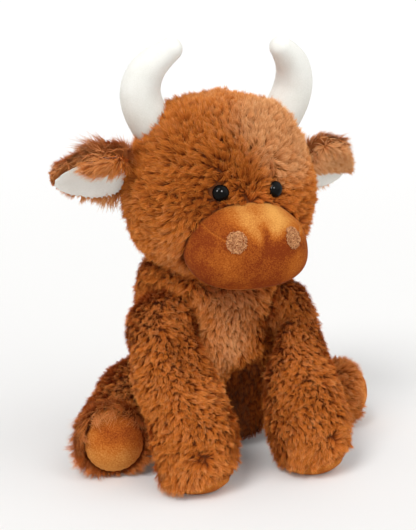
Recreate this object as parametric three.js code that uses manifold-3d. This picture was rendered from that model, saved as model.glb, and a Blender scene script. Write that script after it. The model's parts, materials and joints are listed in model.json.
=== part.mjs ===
import * as THREE from 'three';
import { mergeVertices } from 'three/addons/utils/BufferGeometryUtils.js';
import Module from 'manifold-3d';

const wasm = await Module();
wasm.setup();

// A stuffed cow that sits on the floor, in millimetres, +Z up. It faces -Y, so its left side is +X.
// Fur forms are measured over the pile. The head, ears, legs and tail are sewn on and give at the seam.

// Cloth, seams and cutting
const pileDepth = 8;
const velourDepth = 3;
const sewnGap = 0.3;
const restingCut = 0.5;
const cutOverrun = 40;

// Torso
const torsoHalfWidth = 80;
const torsoHalfDepth = 61;
const torsoHeight = 200;
const torsoSetback = 16;
const chestSetback = 10;
const torsoProfileShares = [
  [0, 0], [0.3, 0.001], [0.58, 0.018], [0.78, 0.06], [0.92, 0.15], [0.99, 0.26], [1, 0.38],
  [0.98, 0.52], [0.94, 0.64], [0.89, 0.75], [0.82, 0.85], [0.7, 0.92], [0.45, 0.975], [0, 1],
];

// Neck: the seam ring, sunk below the top of the torso, and the firm plug of filling inside it
const neckSeamDepth = 23;
const neckSeamRadius = 58;
const neckPlugRadius = 16;
const neckPlugLength = 20;
const neckOpeningRadius = 20;

// Pellet bag that weighs the seat down
const bagHalfWidth = 24;
const bagHalfDepth = 38;
const bagHalfHeight = 20;
const bagSetback = 14;
const bagOpeningRadius = 12;

// Head
const headRadius = 84;
const faceFlatShare = 0.22;
const faceRoundShare = -0.65;
const faceFlatFromShare = -0.15;

// Eyes: a glossy dome with a stem through the cloth and a washer behind it
const eyeRadius = 7;
const eyeDomeHeight = 5.4;
const eyeHalfSpacing = 23.4;
const eyeRise = 6;
const eyeTurnDegrees = 20;
const eyeLiftDegrees = 4;
const eyeClothDepth = 3;
const eyeStemRadius = 2;
const eyeStemTail = 4.8;
const eyePocketRoom = 0.6;
const washerRadius = 7;
const washerDepth = 1.6;
const washerStandoff = 2.2;

// Muzzle
const muzzleHalfWidth = 49;
const muzzleHalfHeight = 35;
const muzzleHalfDepth = 40;
const muzzleDrop = 38;
const muzzleForward = 57;
const muzzleTiltDegrees = 14;
const muzzleSquareness = 2.4;
const muzzleTopTaperShare = 0.16;

// Nostrils, embroidered on the muzzle
const nostrilHalfSpacing = 23.5;
const nostrilDrop = 35;
const nostrilRadius = 8;
const nostrilTurnDegrees = 18;
const nostrilLiftDegrees = 22;
const nostrilThreadDepth = 1;

// Horns
const hornClothDepth = 2.5;
const hornRadii = [18.5, 18, 17, 13.8, 8.5];
const hornRootSpread = 50;
const hornRootRise = 46;
const hornReach = 74;
const hornPathShares = [
  [0, 0.1, 0], [0.17, 0.08, 0.21], [0.29, 0.04, 0.51], [0.22, -0.07, 0.8], [0, -0.2, 1],
];

// Ears
const earLength = 68;
const earHalfWidth = 32;
const earRootHalfWidth = 24;
const earThickness = 9;
const earCup = 12;
const earRootRiseDegrees = 19;
const earSweepDegrees = 19;
const earDroopDegrees = 17;
const earTwistDegrees = 40;
const earWidestShare = 0.3;
const earLiningThickness = 3;
const earLiningInset = 5;
const earFlapDegrees = 15;

// Front legs
const shoulderHalfSpacing = 54;
const shoulderHeight = 126;
const shoulderForward = 12;
const shoulderRadius = 35;
const frontLegRoom = 1.8;
const foreLegRadius = 35;
const frontFootRadius = 41;
const frontFootHalfSpacing = 53;
const frontFootForward = 73;
const hoofPadRadius = 27;
const hoofPadTiltDegrees = 16;

// Hind legs: the two are sewn on at slightly different splays, as stuffed legs are
const hipHalfSpacing = 68;
const hipHeight = 47;
const hipSetback = 28;
const hipRadius = 42;
const kneeRadius = 37;
const hindFootRadius = 33;
const hindLegReach = 43;
const hindFootLength = 14;
const leftSplayDegrees = 78;
const rightSplayDegrees = 54;
const leftFootTurnDegrees = 75;
const rightFootTurnDegrees = 12;
const footPadRadius = 25;

// The hole in a leg's skin where its filling is pushed in
const legOpeningRadius = 16;

// Tail
const tailRootRadius = 9;
const tailRadius = 6;
const tailRootHeight = 72;
const tailRootSetback = 70;
const tailStandoff = 21;
const tailHang = 30;
const tuftRadius = 13;
const tuftEndRadius = 8;
const tuftLength = 18;

// Facets: what shows is finer than what lies under the cloth
const fineFacets = {
  torsoSides: 20, torsoRings: 12, headSides: 20, headRings: 12, seatRings: 18, limbSides: 12, ballRings: 9,
};
const plainFacets = {
  torsoSides: 9, torsoRings: 6, headSides: 10, headRings: 6, limbSides: 7, ballRings: 5,
};
const muzzleSides = 18;
const muzzleRings = 10;
const capRings = 3;
const tailSides = 7;
const domeSteps = 6;
const smallSides = 12;
const earSides = 12;
const earSteps = 5;

const sides = [
  { name: 'left', sign: 1, splayDegrees: leftSplayDegrees, footTurnDegrees: leftFootTurnDegrees },
  { name: 'right', sign: -1, splayDegrees: rightSplayDegrees, footTurnDegrees: rightFootTurnDegrees },
];

const cloth = (color, roughness) => new THREE.MeshStandardMaterial({ color, roughness, metalness: 0 });
const furCloth = cloth(0xb1602c, 0.95);
const tanVelour = cloth(0xb8712f, 0.85);
const paleVelour = cloth(0xe8e2d8, 0.85);
const noseThread = cloth(0xa96a4e, 0.9);
const fillingFibre = cloth(0xf3f1ec, 1);
const pelletCloth = cloth(0xd9d4ca, 0.9);
const eyeGloss = new THREE.MeshStandardMaterial({ color: 0x0b0908, roughness: 0.12, metalness: 0 });
const washerPlastic = new THREE.MeshStandardMaterial({ color: 0xdadada, roughness: 0.4, metalness: 0 });

// A form grown or shrunk by more than the cloth of one seam is hidden, so it has plain facets.
const facetsFor = (grow) => (Math.abs(grow) < velourDepth ? fineFacets : plainFacets);

// Boolean work on closed geometries

function solid(geometry) {
  const bare = geometry.clone();
  bare.deleteAttribute('normal');
  bare.deleteAttribute('uv');
  const merged = mergeVertices(bare);
  const corners = Array.from(merged.index.array);
  const triangles = [];
  for (let index = 0; index < corners.length; index += 3) {
    const triangle = corners.slice(index, index + 3);
    if (new Set(triangle).size === 3) triangles.push(...triangle);
  }
  const mesh = new wasm.Mesh({
    numProp: 3,
    vertProperties: new Float32Array(merged.attributes.position.array),
    triVerts: new Uint32Array(triangles),
  });
  return new wasm.Manifold(mesh);
}

function geometryOf(manifold) {
  const { vertProperties, triVerts } = manifold.getMesh();
  const geometry = new THREE.BufferGeometry();
  geometry.setAttribute('position', new THREE.BufferAttribute(new Float32Array(vertProperties), 3));
  geometry.setIndex(new THREE.BufferAttribute(new Uint32Array(triVerts), 1));
  return geometry;
}

const cut = (body, ...tools) => tools.reduce((rest, tool) => rest.subtract(tool), body);

// A faceted ball lies inside its sphere, and this is the least share of the radius that it reaches.
const facetShare = (sideCount, ringCount) =>
  Math.cos(Math.PI / sideCount) * Math.cos(Math.PI / (2 * ringCount));

function ball(radius, centre, { sideCount, ringCount, turn = 0 }) {
  const geometry = new THREE.SphereGeometry(radius, sideCount, ringCount);
  geometry.rotateX(Math.PI / 2);
  geometry.rotateZ(turn);
  geometry.translate(centre.x, centre.y, centre.z);
  return solid(geometry);
}

// The ball that a limb keeps inside the torso, as far under its cloth as the inset.
function rootBall(radius, centre, inset) {
  const { limbSides, ballRings } = facetsFor(inset);
  return ball(radius - inset, centre, { sideCount: limbSides, ringCount: ballRings });
}

// A socket stays outside the sphere that turns in it. Its flats face the ball's corners, so the gap is small.
function socket(radius, centre, sideCount = fineFacets.limbSides, ringCount = fineFacets.ballRings) {
  const outerRadius = (radius + sewnGap) / facetShare(sideCount, ringCount);
  return ball(outerRadius, centre, { sideCount, ringCount, turn: Math.PI / sideCount });
}

function rod(radius, from, direction, length) {
  const geometry = new THREE.CylinderGeometry(radius, radius, length, smallSides);
  geometry.translate(0, length / 2, 0);
  geometry.applyQuaternion(new THREE.Quaternion().setFromUnitVectors(yAxis, direction));
  geometry.translate(from.x, from.y, from.z);
  return solid(geometry);
}

function underFloor(height) {
  const span = 2 * (torsoHeight + headRadius);
  const geometry = new THREE.BoxGeometry(span, span, cutOverrun);
  geometry.translate(0, 0, height - cutOverrun / 2);
  return solid(geometry);
}

// Closed forms that swell and taper

// Rings of the same number of points become one closed body, with a pole at each end.
function closedRings(startPole, rings, endPole) {
  const count = rings[0].length;
  const points = [startPole, ...rings.flat(), endPole];
  const faces = [];
  const at = (ring, side) => 1 + ring * count + (side % count);
  for (let side = 0; side < count; side += 1) {
    faces.push(0, at(0, side + 1), at(0, side));
    for (let ring = 0; ring + 1 < rings.length; ring += 1) {
      faces.push(at(ring, side), at(ring, side + 1), at(ring + 1, side));
      faces.push(at(ring, side + 1), at(ring + 1, side + 1), at(ring + 1, side));
    }
    faces.push(points.length - 1, at(rings.length - 1, side), at(rings.length - 1, side + 1));
  }
  const geometry = new THREE.BufferGeometry().setFromPoints(points);
  geometry.setIndex(faces);
  return geometry;
}

// A stuffed tube with round ends: a radius at each point of its path, and rings square to the path.
function stuffedTube(path, radii, reference, grow, sideCount = facetsFor(grow).limbSides) {
  const axis = new THREE.CatmullRomCurve3(path);
  const swell = new THREE.SplineCurve(radii.map((radius, index) => new THREE.Vector2(index, radius)));
  const ring = (centre, tangent, radius) => {
    const across = new THREE.Vector3().crossVectors(reference, tangent).normalize();
    const upward = new THREE.Vector3().crossVectors(tangent, across);
    return Array.from({ length: sideCount }, (unused, side) => {
      const angle = (2 * Math.PI * side) / sideCount;
      const point = centre.clone().addScaledVector(across, radius * Math.cos(angle));
      return point.addScaledVector(upward, radius * Math.sin(angle));
    });
  };
  const cap = (centre, outward, tangent, radius) => {
    const rings = [];
    for (let index = 1; index < capRings; index += 1) {
      const angle = (Math.PI / 2) * (index / capRings);
      const place = centre.clone().addScaledVector(outward, radius * Math.sin(angle));
      rings.push(ring(place, tangent, radius * Math.cos(angle)));
    }
    return rings;
  };
  const rings = [];
  const steps = path.length + 1;
  for (let index = 0; index <= steps; index += 1) {
    const share = index / steps;
    rings.push(ring(axis.getPoint(share), axis.getTangent(share), swell.getPoint(share).y + grow));
  }
  const [start, end] = [path[0], path[path.length - 1]];
  const [startTangent, endTangent] = [axis.getTangent(0), axis.getTangent(1)];
  const [startRadius, endRadius] = [radii[0] + grow, radii[radii.length - 1] + grow];
  const startOutward = startTangent.clone().negate();
  rings.unshift(...cap(start, startOutward, startTangent, startRadius).reverse());
  rings.push(...cap(end, endTangent, endTangent, endRadius));
  const startPole = start.clone().addScaledVector(startOutward, startRadius);
  const endPole = end.clone().addScaledVector(endTangent, endRadius);
  return solid(closedRings(startPole, rings, endPole));
}

// Directions and places that several pieces share

const yAxis = new THREE.Vector3(0, 1, 0);
const up = new THREE.Vector3(0, 0, 1);
const sideways = new THREE.Vector3(1, 0, 0);
const radians = THREE.MathUtils.degToRad;

// A direction that starts straight ahead, turned outwards to the given side and lifted.
function facing(sign, turnDegrees, liftDegrees) {
  const turn = radians(turnDegrees);
  const lift = radians(liftDegrees);
  const level = Math.cos(lift);
  return new THREE.Vector3(sign * Math.sin(turn) * level, -Math.cos(turn) * level, Math.sin(lift));
}

const headRise = Math.sqrt(headRadius ** 2 - neckSeamRadius ** 2);
const headCentre = new THREE.Vector3(0, 0, torsoHeight - neckSeamDepth + headRise);
const onHead = (x, y, z) => new THREE.Vector3(x, y, z).add(headCentre);

// Scene graph: one group for each part that gives at its seam, set at the point it turns about

const cow = new THREE.Group();

function sewnPart(pivot) {
  const group = new THREE.Group();
  group.position.copy(pivot);
  cow.add(group);
  return group;
}

// The solid is drawn in the cow's own frame and moves with its group.
function addPiece(group, name, manifold, material) {
  const geometry = geometryOf(manifold);
  geometry.translate(-group.position.x, -group.position.y, -group.position.z);
  const mesh = new THREE.Mesh(geometry, material);
  mesh.name = name;
  group.add(mesh);
}

// A turned piece is drawn about its own axis, then stood at a place and pointed along a direction.
function addTurned(group, name, profile, place, direction, material) {
  const outline = profile.map(([radius, height]) => new THREE.Vector2(radius, height));
  const geometry = geometryOf(solid(new THREE.LatheGeometry(outline, smallSides)));
  const mesh = new THREE.Mesh(geometry, material);
  mesh.name = name;
  mesh.position.copy(place).sub(group.position);
  mesh.quaternion.setFromUnitVectors(yAxis, direction);
  group.add(mesh);
}

// Torso

function torsoForm(grow) {
  const profile = new THREE.SplineCurve(torsoProfileShares.map(([r, h]) => new THREE.Vector2(r, h)));
  const { torsoSides, torsoRings } = facetsFor(grow);
  const outline = profile.getPoints(torsoRings);
  const geometry = new THREE.LatheGeometry(outline, torsoSides);
  geometry.rotateX(Math.PI / 2);
  const places = geometry.attributes.position;
  for (let index = 0; index < places.count; index += 1) {
    const share = places.getZ(index);
    const lean = THREE.MathUtils.lerp(torsoSetback, chestSetback, share);
    const x = places.getX(index) * (torsoHalfWidth + grow);
    const y = places.getY(index) * (torsoHalfDepth + grow) + lean;
    const z = share * (torsoHeight + 2 * grow) - grow - restingCut;
    places.setXYZ(index, x, y, z);
  }
  return solid(geometry);
}

// Front legs: a shoulder ball, a thick leg that leans forward and a round foot

const shoulderAt = ({ sign }) =>
  new THREE.Vector3(sign * shoulderHalfSpacing, -shoulderForward, shoulderHeight);

const standingHeight = (radius) => radius * facetShare(fineFacets.limbSides, 2 * capRings) - restingCut;

const frontFootAt = ({ sign }) =>
  new THREE.Vector3(sign * frontFootHalfSpacing, -frontFootForward, standingHeight(frontFootRadius));

function frontLegForm(side, grow) {
  const [shoulder, foot] = [shoulderAt(side), frontFootAt(side)];
  const middle = shoulder.clone().lerp(foot, 0.5);
  const radii = [shoulderRadius, foreLegRadius, frontFootRadius];
  return stuffedTube([shoulder, middle, foot], radii, sideways, grow);
}

// Hind legs: a hip ball, a short thigh that splays and a foot that turns to the front

const hipAt = ({ sign }) => new THREE.Vector3(sign * hipHalfSpacing, hipSetback, hipHeight);

const hindFootFacing = ({ sign, footTurnDegrees }) => facing(sign, footTurnDegrees, 0);

function heelAt(side) {
  const splay = facing(side.sign, side.splayDegrees, 0);
  return hipAt(side).addScaledVector(splay, hindLegReach).setZ(standingHeight(hindFootRadius));
}

const hindFootAt = (side) => heelAt(side).addScaledVector(hindFootFacing(side), hindFootLength);

function hindLegForm(side, grow) {
  const [hip, heel] = [hipAt(side), heelAt(side)];
  const knee = hip.clone().lerp(heel, 0.5);
  const thigh = stuffedTube([hip, knee, heel], [hipRadius, kneeRadius, hindFootRadius], up, grow);
  const foot = stuffedTube([heel, hindFootAt(side)], [hindFootRadius, hindFootRadius], up, grow);
  return thigh.add(foot);
}

// Tail: it hangs from a small ball at the back and ends in a tuft

const tailRoot = new THREE.Vector3(0, tailRootSetback, tailRootHeight);
const tailEnd = new THREE.Vector3(0, tailRootSetback + tailStandoff, tailRootHeight - tailHang);

function tailForm(grow) {
  const bend = new THREE.Vector3(0, tailEnd.y, (tailRoot.z + tailEnd.z) / 2);
  const lead = tailRoot.clone().lerp(bend, 0.5).setZ(tailRoot.z);
  const radii = [tailRootRadius, tailRadius, tailRadius, tailRadius];
  return stuffedTube([tailRoot, lead, bend, tailEnd], radii, sideways, grow, tailSides);
}

function tuftForm(grow) {
  const middle = tailEnd.clone().sub(new THREE.Vector3(0, 0, tuftLength / 2));
  const tip = tailEnd.clone().sub(new THREE.Vector3(0, 0, tuftLength));
  const radii = [tuftEndRadius, tuftRadius, tuftEndRadius];
  return stuffedTube([tailEnd, middle, tip], radii, sideways, grow, tailSides);
}

// Head

const smoothstep = (from, to, value) => THREE.MathUtils.smoothstep(value, from, to);

// The face is flatter than the rest of the head. The part that sits in the neck stays round.
const faceShare = (height) => 1 - faceFlatShare * smoothstep(faceRoundShare, faceFlatFromShare, height);

function headForm(grow) {
  const { headSides, headRings } = facetsFor(grow);
  const geometry = new THREE.SphereGeometry(1, headSides, headRings);
  geometry.rotateX(Math.PI / 2);
  const places = geometry.attributes.position;
  for (let index = 0; index < places.count; index += 1) {
    const depth = places.getY(index);
    places.setY(index, depth < 0 ? depth * faceShare(places.getZ(index)) : depth);
  }
  const radius = headRadius + grow;
  geometry.scale(radius, radius, radius);
  geometry.translate(headCentre.x, headCentre.y, headCentre.z);
  return solid(geometry);
}

// A place on the face, from how far it lies beside and above the middle of the head.
function onFace(beside, above, grow) {
  const radius = headRadius + grow;
  const depth = Math.sqrt(radius ** 2 - beside ** 2 - above ** 2) * faceShare(above / radius);
  return onHead(beside, -depth, above);
}

// Muzzle: a wide rounded form that droops to the front

function muzzleForm(grow) {
  const geometry = new THREE.SphereGeometry(1, muzzleSides, muzzleRings);
  geometry.rotateX(Math.PI / 2);
  const places = geometry.attributes.position;
  const point = new THREE.Vector3();
  for (let index = 0; index < places.count; index += 1) {
    point.fromBufferAttribute(places, index);
    const power = point.toArray().reduce((sum, part) => sum + Math.abs(part) ** muzzleSquareness, 0);
    point.multiplyScalar(power ** (-1 / muzzleSquareness));
    const taper = 1 - muzzleTopTaperShare * point.z;
    places.setXYZ(
      index,
      point.x * taper * (muzzleHalfWidth + grow),
      point.y * (muzzleHalfDepth + grow),
      point.z * (muzzleHalfHeight + grow),
    );
  }
  geometry.rotateX(radians(muzzleTiltDegrees));
  geometry.translate(0, -muzzleForward, -muzzleDrop);
  geometry.translate(headCentre.x, headCentre.y, headCentre.z);
  return solid(geometry);
}

// Horns: thick curved tubes that lean forward and close in at the tips

function hornForm({ sign }, grow) {
  const path = hornPathShares.map(([out, back, rise]) => onHead(
    sign * (hornRootSpread + out * hornReach),
    back * hornReach,
    hornRootRise + rise * hornReach,
  ));
  return stuffedTube(path, hornRadii, yAxis, grow);
}

// Ears: cupped leaves, twisted so that the lining looks forward and down

function earFrame({ sign }) {
  const root = facing(sign, 90, earRootRiseDegrees);
  const pivot = headCentre.clone().addScaledVector(root, headRadius + earThickness / 2 + sewnGap);
  const along = facing(sign, 90 + earSweepDegrees, -earDroopDegrees);
  const upright = up.clone().addScaledVector(along, -up.dot(along)).normalize();
  const frontal = new THREE.Vector3().crossVectors(along, upright).multiplyScalar(sign);
  const twist = radians(earTwistDegrees);
  const across = upright.clone().multiplyScalar(Math.cos(twist)).addScaledVector(frontal, Math.sin(twist));
  const inner = frontal.clone().multiplyScalar(Math.cos(twist)).addScaledVector(upright, -Math.sin(twist));
  return { sign, pivot, along, across, inner };
}

function earHalfWidthAt(share, inset) {
  const rootPart = Math.sin((Math.PI / 2) * Math.min(share / earWidestShare, 1));
  const tipPart = Math.max(share - earWidestShare, 0) / (1 - earWidestShare);
  const width = THREE.MathUtils.lerp(earRootHalfWidth, earHalfWidth, rootPart) - inset;
  return width * Math.sqrt(Math.max(1 - tipPart ** 2, 0));
}

// One layer of an ear. Its root edge is rounded about the pivot, and its middle follows the cup.
function earLayer(frame, thickness, offset, inset) {
  const start = inset > 0 ? inset : -thickness / 2;
  const end = earLength - inset;
  const place = (length, width, depth) => {
    const cup = earCup * (width / earHalfWidth) ** 2;
    const hug = (width ** 2 / (2 * headRadius)) * (1 - length / earLength);
    return frame.pivot.clone()
      .addScaledVector(frame.along, length - hug)
      .addScaledVector(frame.across, width)
      .addScaledVector(frame.inner, depth + offset + cup);
  };
  const ring = (length, halfWidth, halfThickness) =>
    Array.from({ length: earSides }, (unused, side) => {
      const angle = (2 * Math.PI * side * frame.sign) / earSides;
      return place(length, halfWidth * Math.cos(angle), halfThickness * Math.sin(angle));
    });
  const rings = [];
  for (let index = 1; index < capRings; index += 1) {
    const angle = (Math.PI / 2) * (index / (capRings - 1));
    const length = start + (thickness / 2) * (1 - Math.cos(angle));
    rings.push(ring(length, earRootHalfWidth - inset, (thickness / 2) * Math.sin(angle)));
  }
  const bladeStart = start + thickness / 2;
  for (let index = 1; index < earSteps; index += 1) {
    const share = Math.sin((Math.PI / 2) * (index / earSteps));
    const halfWidth = earHalfWidthAt(share, inset);
    const halfThickness = (thickness / 2) * Math.min(1, Math.sqrt((2 * halfWidth) / earHalfWidth));
    rings.push(ring(bladeStart + share * (end - bladeStart), halfWidth, halfThickness));
  }
  return solid(closedRings(place(start, 0, 0), rings, place(end, 0, 0)));
}

// Each limb is cut by the larger forms it is sewn against, but keeps its ball inside the torso's socket.
// The inset gives the same limb under its cloth.

function frontLegBody(side, inset) {
  const root = rootBall(shoulderRadius, shoulderAt(side), inset);
  return cut(
    frontLegForm(side, -inset),
    underFloor(inset),
    torsoForm(sewnGap + frontLegRoom + inset).subtract(root),
  );
}

function hindLegBody(side, inset) {
  const root = rootBall(hipRadius, hipAt(side), inset);
  return cut(
    hindLegForm(side, -inset),
    underFloor(inset),
    torsoForm(sewnGap + inset).subtract(root),
  );
}

// A leg is a fur skin with a velour pad let into its sole, round a filling that fills both.
function addLeg(side, leg) {
  const { prefix, padName, padRadius, root, sole, soleFacing, bodyAt } = leg;
  const group = sewnPart(root);
  const inward = facing(-side.sign, 90, 0);
  const reach = cutOverrun + padRadius;
  const rootOpening = rod(legOpeningRadius, root, inward, reach);
  const padCut = rod(padRadius + sewnGap, sole, soleFacing, reach);
  const padRod = rod(padRadius, sole, soleFacing, reach);
  const fillRod = rod(padRadius - sewnGap, sole, soleFacing, reach);
  const skin = cut(bodyAt(0), bodyAt(pileDepth), rootOpening, padCut);
  const pad = bodyAt(0).subtract(bodyAt(velourDepth)).intersect(padRod);
  const filling = bodyAt(pileDepth + sewnGap).add(bodyAt(velourDepth + sewnGap).intersect(fillRod));
  addPiece(group, `${prefix}_leg_skin_${side.name}`, skin, furCloth);
  addPiece(group, `${prefix}_leg_filling_${side.name}`, filling, fillingFibre);
  addPiece(group, `${padName}_${side.name}`, pad, tanVelour);
}

function addFrontLeg(side) {
  addLeg(side, {
    prefix: 'front',
    padName: 'front_hoof_pad',
    padRadius: hoofPadRadius,
    root: shoulderAt(side),
    sole: frontFootAt(side),
    soleFacing: facing(side.sign, 0, hoofPadTiltDegrees - 90),
    bodyAt: (inset) => frontLegBody(side, inset),
  });
}

function addHindLeg(side) {
  addLeg(side, {
    prefix: 'hind',
    padName: 'hind_foot_pad',
    padRadius: footPadRadius,
    root: hipAt(side),
    sole: hindFootAt(side),
    soleFacing: hindFootFacing(side),
    bodyAt: (inset) => hindLegBody(side, inset),
  });
}

// Torso pieces: the skin is open at the neck and at the sockets, and the filling holds the bag

function addTorso() {
  const headSeat = socket(headRadius, headCentre, fineFacets.headSides, fineFacets.seatRings);
  const sockets = sides.flatMap((side) => [
    socket(shoulderRadius, shoulderAt(side)),
    socket(hipRadius, hipAt(side)),
  ]);
  const tailSocket = socket(tailRootRadius, tailRoot);
  const plugTop = headCentre.z - headRadius;
  const plugBase = new THREE.Vector3(0, 0, plugTop - neckPlugLength);
  const plugReach = neckPlugLength + cutOverrun;
  const plugWell = rod(
    neckPlugRadius + 2 * sewnGap,
    plugBase.clone().setZ(plugBase.z - sewnGap),
    up,
    plugReach,
  );
  const bagCentre = new THREE.Vector3(0, bagSetback, pileDepth + sewnGap + bagHalfHeight);
  const bagForm = (grow) => {
    const geometry = new THREE.SphereGeometry(1, plainFacets.limbSides, plainFacets.ballRings);
    geometry.rotateX(Math.PI / 2);
    geometry.scale(bagHalfWidth + grow, bagHalfDepth + grow, bagHalfHeight + grow);
    geometry.translate(bagCentre.x, bagCentre.y, bagCentre.z);
    return solid(geometry);
  };
  const skin = cut(
    torsoForm(0),
    torsoForm(-pileDepth).subtract(underFloor(pileDepth)),
    underFloor(0),
    headSeat,
    ...sockets,
    tailSocket,
  );
  const filling = cut(
    torsoForm(-pileDepth - sewnGap),
    underFloor(pileDepth + sewnGap),
    headSeat,
    ...sockets,
    tailSocket,
    plugWell,
    bagForm(sewnGap),
    rod(bagOpeningRadius, new THREE.Vector3(0, bagSetback, 0), up, bagCentre.z),
  );
  addPiece(cow, 'torso_skin', skin, furCloth);
  addPiece(cow, 'torso_filling', filling, fillingFibre);
  addPiece(cow, 'seat_pellet_bag', bagForm(0), pelletCloth);

  const neck = sewnPart(headCentre);
  const plug = rod(neckPlugRadius, plugBase, up, plugReach).subtract(headSeat);
  addPiece(neck, 'neck_filling', plug, fillingFibre);
}

function addTail() {
  const tail = sewnPart(tailRoot);
  const root = rootBall(tailRootRadius, tailRoot, 0);
  addPiece(tail, 'tail', tailForm(0).subtract(torsoForm(sewnGap).subtract(root)), furCloth);
  addPiece(tail, 'tail_tuft', tuftForm(0).subtract(tailForm(sewnGap)), furCloth);
}

function addHead() {
  const head = sewnPart(headCentre);
  const underSkin = headForm(-pileDepth);
  const sewnIn = headForm(sewnGap - pileDepth);
  const down = up.clone().negate();
  const eyes = sides.map((side) => {
    const axis = facing(side.sign, eyeTurnDegrees, eyeLiftDegrees);
    const behind = onFace(side.sign * eyeHalfSpacing, eyeRise, -pileDepth);
    const seat = behind.clone().addScaledVector(axis, eyeClothDepth);
    const tail = eyeClothDepth + eyeStemTail;
    const stemEnd = seat.clone().addScaledVector(axis, -tail - sewnGap);
    const washerRoom = tail - eyeClothDepth - washerStandoff + 2 * sewnGap;
    return { side, axis, seat, tail, stemEnd, washerRoom };
  });
  const skin = cut(
    headForm(0),
    underSkin,
    rod(neckOpeningRadius, headCentre, down, headRadius + cutOverrun),
    muzzleForm(sewnGap),
    ...sides.map((side) => hornForm(side, sewnGap)),
    ...eyes.map(({ seat, axis }) => rod(eyeRadius + eyePocketRoom, seat, axis, cutOverrun)),
    ...eyes.map(({ stemEnd, axis }) => rod(eyeStemRadius + sewnGap, stemEnd, axis, cutOverrun)),
    ...eyes.map(({ stemEnd, axis, washerRoom }) =>
      rod(washerRadius + eyePocketRoom, stemEnd, axis, washerRoom)),
  );
  const filling = cut(
    headForm(-pileDepth - sewnGap),
    ...eyes.map(({ stemEnd, axis }) => rod(washerRadius + eyePocketRoom, stemEnd, axis, cutOverrun)),
  );
  addPiece(head, 'head_skin', skin, furCloth);
  addPiece(head, 'head_filling', filling, fillingFibre);
  eyes.forEach((eye) => addEye(head, eye));
  addMuzzle(head, sewnIn);
  sides.forEach((side) => {
    const hornSkin = cut(hornForm(side, 0), hornForm(side, -hornClothDepth), sewnIn);
    const hornFilling = hornForm(side, -hornClothDepth - sewnGap).subtract(sewnIn);
    addPiece(head, `horn_skin_${side.name}`, hornSkin, paleVelour);
    addPiece(head, `horn_filling_${side.name}`, hornFilling, fillingFibre);
  });
}

function addEye(head, { side, axis, seat, tail }) {
  const dome = Array.from({ length: domeSteps }, (unused, index) => {
    const angle = (Math.PI / 2) * (index / domeSteps);
    return [eyeRadius * Math.cos(angle), sewnGap + eyeDomeHeight * Math.sin(angle)];
  });
  const eyeProfile = [
    [0, -tail], [eyeStemRadius, -tail], [eyeStemRadius, sewnGap], ...dome, [0, sewnGap + eyeDomeHeight],
  ];
  const washerTop = -eyeClothDepth - washerStandoff;
  const washerBase = washerTop - washerDepth;
  const washerBore = eyeStemRadius + sewnGap;
  const washerProfile = [
    [washerBore, washerBase], [washerRadius, washerBase], [washerRadius, washerTop],
    [washerBore, washerTop], [washerBore, washerBase],
  ];
  addTurned(head, `eye_${side.name}`, eyeProfile, seat, axis, eyeGloss);
  addTurned(head, `eye_washer_${side.name}`, washerProfile, seat, axis, washerPlastic);
}

function addMuzzle(head, sewnIn) {
  const panel = cut(muzzleForm(0), muzzleForm(-velourDepth), sewnIn);
  const filling = muzzleForm(-velourDepth - sewnGap).subtract(sewnIn);
  addPiece(head, 'muzzle_panel', panel, tanVelour);
  addPiece(head, 'muzzle_filling', filling, fillingFibre);
  const threads = muzzleForm(sewnGap + nostrilThreadDepth).subtract(muzzleForm(sewnGap));
  sides.forEach((side) => {
    const axis = facing(side.sign, nostrilTurnDegrees, nostrilLiftDegrees);
    const behind = onHead(side.sign * nostrilHalfSpacing, -muzzleForward - muzzleHalfDepth / 2, -nostrilDrop);
    const patch = threads.intersect(rod(nostrilRadius, behind, axis, cutOverrun));
    addPiece(head, `nostril_${side.name}`, patch, noseThread);
  });
}

// The head as an ear meets it when the ear is flapped by the given angle.
function headFromFlappedEar(frame, degrees) {
  const geometry = geometryOf(headForm(sewnGap));
  const turn = new THREE.Quaternion().setFromAxisAngle(frame.across, radians(-degrees));
  geometry.translate(-frame.pivot.x, -frame.pivot.y, -frame.pivot.z);
  geometry.applyQuaternion(turn);
  geometry.translate(frame.pivot.x, frame.pivot.y, frame.pivot.z);
  return solid(geometry);
}

function addEar(side) {
  const frame = earFrame(side);
  const ear = sewnPart(frame.pivot);
  const clear = [-earFlapDegrees, 0, earFlapDegrees].map((degrees) => headFromFlappedEar(frame, degrees));
  const liningOffset = earThickness / 2 + sewnGap + earLiningThickness / 2;
  const back = cut(earLayer(frame, earThickness, 0, 0), ...clear);
  const lining = cut(earLayer(frame, earLiningThickness, liningOffset, earLiningInset), ...clear);
  addPiece(ear, `ear_back_${side.name}`, back, furCloth);
  addPiece(ear, `ear_lining_${side.name}`, lining, paleVelour);
}

addTorso();
addTail();
addHead();
sides.forEach((side) => {
  addEar(side);
  addFrontLeg(side);
  addHindLeg(side);
});

// The origin is the middle of the whole cow's box, on the floor it sits on.
const box = new THREE.Box3().setFromObject(cow);
const middle = box.getCenter(new THREE.Vector3());
cow.position.set(-middle.x, -middle.y, -box.min.z);

export default cow;
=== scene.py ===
"""The looks of a sitting stuffed cow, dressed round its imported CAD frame.

Metres, +Z up. The cow faces -Y and its left side is +X. Each stuffed form starts from the fillings of the
frame, swells as a stuffed bag does and carries a coat of separate strands. Velour, stitching, horns and eyes
are pieces of their own.
"""

import json
import logging
import math
from dataclasses import dataclass, field
from enum import Enum
from typing import Callable, Optional, Sequence

import bmesh
import bpy
import numpy as np
from mathutils import Matrix, Vector, noise
from mathutils.bvhtree import BVHTree
from mathutils.kdtree import KDTree


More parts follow.
